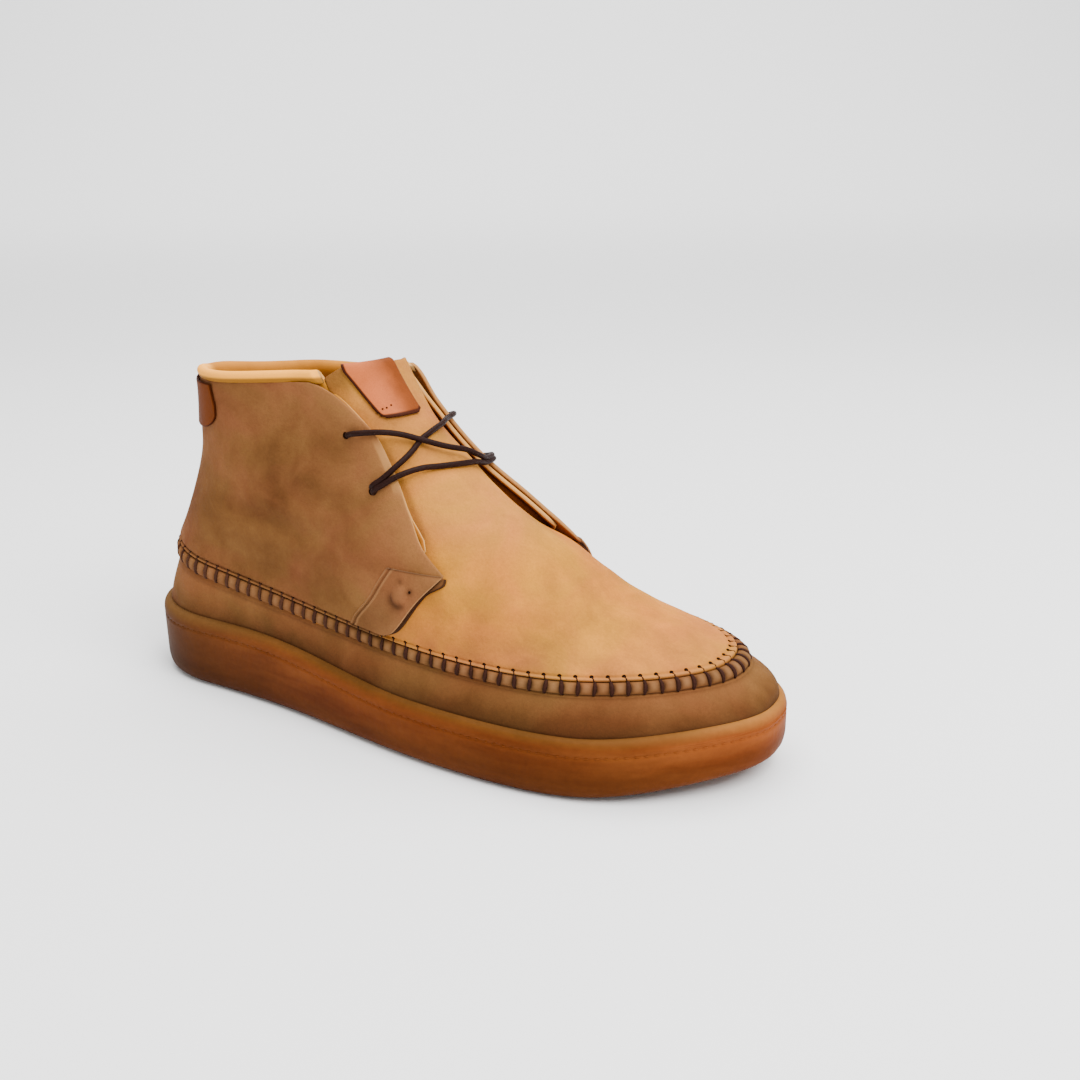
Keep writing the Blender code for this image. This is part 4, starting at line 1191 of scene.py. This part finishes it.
def collar_raise(turn):
    """How much higher than its own level the padded collar rolls, round the foot."""
    outer = 2.7 * ease(turn, 0, 0.11)
    inner = -1.9 * ease(1 - turn, 0.02, 0.14) * fall(1 - turn, 0.34, 0.38)
    return np.where(turn < 0.5, outer, inner)


def make_lining(look):
    """Lining of the quarters, padded at the collar and rolled over its top."""
    share = both_ways(130)
    away = np.abs(share)
    wall = [(level, -1) for level in (16, *range(22, 142, 5))]
    level, out, up, over = fold_sides(np.array([*wall, *COLLAR_ROLL], float))
    turn = quarter_turn(share, level, LINING_SIDE)
    deep = facing_depth(share, level)
    half = COLLAR_HALF + 0.32 * deep
    height = level + collar_raise(turn) * ease(level, 156, 164)
    flatter = ease(away, np.where(share > 0, 0.975, 0.93), 1)
    place = out + (np.minimum(out, -0.9) - out) * flatter
    place = place + standoff(share, level) - 0.55 * deep * (level < 163)
    roll = ease(level, 154, 163)
    # Painted light and shade on one lining leather: dark down the wall inside, lighter over the
    # roll, a painted highlight on the outer side's roll. The shadow values paint shade in the gaps
    # at the front edges and below the roll.
    tone = 0.1 + (0.22 + 0.8 * ease(share, 0.03, 0.22)) * roll
    shadow = 0.9 * ease(away, 0.93, 0.975) * fall(away, 0.985, 0.998) * (1 - roll)
    shadow[-3:] += 0.8
    leather("collar_lining", turn, height - FACES * over * half, place + FACES * up * half, look,
            {"tone": tone, "painted_shade_and_edge_paint": shadow}, ("upper",))


# Small leather


def make_tongue_tab(look, hole_look):
    """Pull tab folded over the top of the tongue, with three stitch holes."""
    share = np.linspace(0, 1, 40)
    level, out, up, over = fold_sides(through(TAB_FOLD, 60))
    rise = np.clip((level - TAB_FOLD[0][0]) / 18.5, 0, 1)
    left, right = (low + (high - low) * rise for low, high in zip(TAB_LOW, TAB_HIGH))
    turn = left + share * (right - left)
    crown = out + 0.35 * np.sin(np.pi * share)
    corner = level + 0.9 * (bell(share, 0, 0.05) + bell(share, 1, 0.05)) * (level < 151)
    front = np.arange(len(level))[:, None] < 34
    paint = np.maximum(fall(share, 0.025, 0.055), fall(level, 150, 150.7)) * front
    # Painted light and shade: the tab is lighter on its outer side and darker towards its inner
    # side; paint marks the dark edges.
    marks = {"tone": 0.95 - 1.05 * ease(share, 0.25, 0.95), "paint": paint}
    leather("tongue_tab_leather", turn, corner - FACES * over * TAB_HALF,
            crown + FACES * up * TAB_HALF, look, marks, ("tongue_tab",), 1)
    holes = [(*place, 0.72 + TAB_HALF + 0.3) for place in TAB_HOLES]
    make_holes("tongue_tab_holes", hole_look, holes, 0.4, 0.15)


def make_heel_tab(look):
    """Tab on the back of the collar, with rounded lower corners."""
    share = np.linspace(-1, 1, 90)
    corner = np.clip((np.abs(share) - 0.6) / 0.4, 0, 1)
    low = HEEL_TAB["low"] + HEEL_TAB["round"] * (1 - np.sqrt(1 - corner ** 2))
    turn = (share * HEEL_TAB["turn"]) % 1
    heights = low + (HEEL_TAB["high"] - low) * np.linspace(0, 1, 26)[:, None]
    leather("heel_tab_leather", turn, heights, LAP + 0.7 + FACES * TAB_HALF, look,
            {"tone": 0.5}, ("heel_tab",), 1)


def make_patch(name, side, look, node, hole_look):
    """Patch over the lower tip of one quarter, with a folded rear edge and a puckered tack."""
    levels = np.linspace(37.2, 80.6, 110)[:, None]
    share = np.linspace(0, 1, 80)
    edge = EDGE[side](levels)
    forward = edge - PATCH_BEHIND(levels) + share * (PATCH_BEHIND(levels) - 0.0004)
    turn = on_side(forward, side)
    ground = last_point(turn, levels)
    behind = np.linalg.norm(ground - ground[:, :1], axis=-1)
    above = above_band(turn, levels)

    sign = 1 if side == OUTER else -1
    deeper = float(EDGE[INNER](71) - EDGE[OUTER](71))
    tack_turn = TACK[0] if side == OUTER else 1 - TACK[0] - deeper
    tack = last_point(tack_turn, TACK[1])
    from_tack = np.linalg.norm(ground - tack, axis=-1)
    down = unit(last_point(tack_turn - sign * 0.0078, 66.44) - tack)
    below_tack = (ground - tack) @ down / np.maximum(from_tack, 0.1)
    high_end, low_end = [(tack_turn + sign * shift, level) for shift, level in TACK_ENDS]
    from_high, from_low = [np.linalg.norm(ground - last_point(*end), axis=-1)
                           for end in (high_end, low_end)]

    relief = 0.75 * ease(behind, -0.6, 1.2) + 0.35 * bell(behind, 0.7, 0.5)
    relief = relief - 0.4 * bell(behind, 1.9, 0.5) + 0.35 * bell(behind, 3.2, 0.5)
    relief = relief + 1.15 * np.clip(1 - (from_tack / 4.1) ** 2, 0, 1)
    relief = relief - 0.5 * bell(from_tack, 4.5, 1.1) * ease(below_tack, 0.1, 0.8)
    relief = relief - 0.45 * bell(from_high, 0, 0.9)
    skin = skin_out(above, 1) + lower_lift(forward / edge, levels, above)
    face = skin + 0.08 + relief * ease(above, 1.2, 4.5)
    back = np.minimum(skin - 0.15, face - 0.3)

    # Painted shade: in the groove between the folded ridges, a crescent below the tack, round the
    # thread's ends, along the top edge and in the groove over the band.
    painted_shade_and_edge_paint = 0.35 * bell(behind, 1.9, 0.4)
    painted_shade_and_edge_paint = painted_shade_and_edge_paint + 0.6 * bell(from_tack, 4.4, 2) * ease(below_tack, 0.1, 0.9)
    painted_shade_and_edge_paint = painted_shade_and_edge_paint + 0.32 * bell(from_high, 0, 1.5) + 0.7 * bell(from_low, 0, 1.4)
    painted_shade_and_edge_paint = painted_shade_and_edge_paint + 0.9 * bell(levels, 81, 0.75) + 0.9 * bell(above, -0.25, 0.4)
    # Painted highlights on the folded ridges, on the tack and on the lip.
    pale_edge_and_highlight = 0.45 * bell(behind, 0.5, 0.5) + 0.4 * bell(behind, 3.2, 0.5)
    pale_edge_and_highlight = (pale_edge_and_highlight + 0.1 * bell(from_tack, 1, 1.6)) * ease(above, 1, 4)
    marks = {"tone": 0.42 + 0.25 * ease(share, 0.3, 1) + 0.2 * ease(levels, 70, 81),
             "painted_shade_and_edge_paint": painted_shade_and_edge_paint, "pale_edge_and_highlight": pale_edge_and_highlight + 0.28 * bell(above, 1.1, 0.7)}
    leather(name, turn, levels, [face, back], look, marks, (node,), 0.9)
    hole = (*low_end, face.ravel()[np.argmin(from_low)])
    make_holes(name + "_hole", hole_look, [hole], 0.55, 0.2)


# Laces


def lace_point(turn, height, over):
    """Middle of the lace where it lies over the quarters and bridges the tongue."""
    outer = (LAP + RISE[OUTER](height)) * fall(turn, EDGE[OUTER](height), 0.455)
    inner = LAP + RISE[INNER](height) + 0.35
    inner = inner * fall(1 - turn, EDGE[INNER](height), 0.455)
    return skin_point(turn, height, outer + inner + LACE / 2 + 0.1 + over)


def make_laces(look):
    """Waxed laces that come out of one eyelet and go in at another."""
    bundle = Bundle()
    for course, over in ((LACE_BAR, 0), (LACE_RISING, 0), (LACE_FALLING, 2.4)):
        route = through(course, 64)
        path = lace_point(*route.T, over * np.sin(np.pi * np.linspace(0, 1, 64)) ** 2)
        way_in = skin_point(*route[0], (-4.5, -2.5, 0.5))
        way_out = skin_point(*route[-1], (1.5, -1.5, -4))
        points = np.concatenate([way_in, path[3:-3:3], way_out])
        run = run_along(points)
        bundle.tube(natural_curve(run, points)(np.linspace(0, run[-1], 200)), LACE / 2, 14)
    bundle.piece("laces", look, "waxed_lace", ("lace_crossings",))


def make_eyelets(look):
    """Punched holes that the laces go through."""
    turns, heights = np.array(EYELETS).T
    shares = from_heel(turns) / front_edge(turns, heights) * np.where(turns < 0.5, 1, -1)
    outs = LAP + standoff(shares, heights)
    make_holes("eyelets", look, zip(turns, heights, outs), 1.65, 0.12, 20)


# Stage


def make_floor():
    """Plain pale floor that curves up far behind."""
    start, bend = 2200, 2000
    profile = [(-6000, 0), (start, 0)]
    profile += [(start + bend * math.sin(angle), bend * (1 - math.cos(angle)))
                for angle in np.linspace(0, math.pi / 2, 16)[1:]]
    profile.append((start + bend, 7000))
    turned = Matrix.Rotation(AZIMUTH, 3, "Z")
    points = [turned @ Vector((x, y, z)) for x in (-8000, 8000) for y, z in profile]
    floor = add_mesh("floor", points, quad_faces(np.arange(len(points)).reshape(2, -1)))
    floor.data.polygons.foreach_set("use_smooth", np.ones(len(floor.data.polygons), bool))
    floor.data.materials.append(Look("floor").done((0.92, 0.92, 0.92), 0.9, specular=0))


def make_light(name, place, aim, size, watts):
    """Soft rectangular light."""
    lamp = bpy.data.lights.new(name, "AREA")
    lamp.shape = "RECTANGLE"
    lamp.size, lamp.size_y = size
    lamp.energy = watts * EXPOSURE
    light = add_object(name, lamp)
    light.location = place
    light.rotation_euler = (Vector(aim) - Vector(place)).to_track_quat("-Z", "Y").to_euler()


def make_camera():
    """Camera at the photographed angle: from the outer side, ahead and above."""
    rise, roll = math.radians(19.41), math.radians(-0.81)
    target, distance = Vector((0.02724, 0.03586, 0.0688)), 0.57652
    back = Vector((math.sin(AZIMUTH) * math.cos(rise), -math.cos(AZIMUTH) * math.cos(rise),
                   math.sin(rise)))
    lens = bpy.data.cameras.new("camera")
    lens.lens = 43.917
    lens.sensor_width = 36
    camera = add_object("camera", lens)
    turned = (-back).to_track_quat("-Z", "Y").to_matrix() @ Matrix.Rotation(roll, 3, "Z")
    camera.matrix_world = Matrix.Translation(target + back * distance) @ turned.to_4x4()
    bpy.context.scene.camera = camera


def make_world():
    """Even pale surroundings."""
    world = bpy.data.worlds.new("studio")
    world.use_nodes = True
    background = world.node_tree.nodes["Background"].inputs
    background["Color"].default_value = (1, 1, 1, 1)
    background["Strength"].default_value = 0.52 * EXPOSURE
    bpy.context.scene.world = world


def build():
    """Every piece, light and the camera."""
    make_camera()
    make_world()
    make_light("overhead", (-0.1, 0.2, 1.45), (0, 0, 0.05), (1.6, 1.4), 26)
    make_light("key", (0.85, -0.25, 1.15), (0.03, 0, 0.06), (0.8, 0.8), 19.5)
    make_light("backdrop", (-0.94, 1.65, 1.7), (-2.1, 3.7, 0.2), (4, 0.8), 62)
    make_floor()
    tan = nubuck("waxed_nubuck", (0.36, 0.15, 0.049), (0.145, 0.051, 0.016),
                 (0.56, 0.27, 0.085), hues=((1.07, 0.96, 1.08), (0.95, 1.025, 0.93)))
    vamp_tan = nubuck("vamp_nubuck", (0.77, 0.287, 0.029), (0.35, 0.127, 0.025),
                      (0.47, 0.205, 0.066), (0.5, 0.2, 0.03), 1.35,
                      ((1.06, 0.955, 1.22), (0.93, 1.03, 0.9)))
    rand = nubuck("rand_leather", (0.29, 0.119, 0.037), (0.118, 0.042, 0.012),
                  (0.5, 0.265, 0.12), mottle=0.8)
    patch = nubuck("patch_nubuck", (0.34, 0.141, 0.052), (0.16, 0.058, 0.0195),
                   (0.5, 0.25, 0.1), mottle=0.8)
    tab = smooth_leather("tab_leather", (0.72, 0.172, 0.046), (0.24, 0.054, 0.009),
                         (0.06, 0.012, 0.0035))
    heel_tab = smooth_leather("heel_tab_leather", (0.225, 0.056, 0.011), (0.13, 0.032, 0.006),
                              (0.06, 0.012, 0.003), 0.01)
    dark = hole_shadow()
    rubber = gum_rubber()
    make_sole(rubber)
    make_side_stitches(rubber)
    make_insole(footbed_fabric())
    make_rand(rand)
    make_whip_stitches(waxed_cord("whip_thread", (0.028, 0.0085, 0.0048), 0.7))
    make_seam_holes(dark)
    make_quarters(tan)
    make_underlay("underlay_outer", OUTER, patch)
    make_underlay("underlay_inner", INNER, patch)
    make_vamp(vamp_tan)
    make_lining(lining_leather())
    make_tongue_tab(tab, dark)
    make_heel_tab(heel_tab)
    make_patch("patch_outer", OUTER, patch, "facing_patch_lateral", dark)
    make_patch("patch_inner", INNER, patch, "facing_patch_medial", dark)
    make_laces(waxed_cord("waxed_lace", (0.015, 0.0044, 0.0028), 0.5))
    make_eyelets(dark)


build()
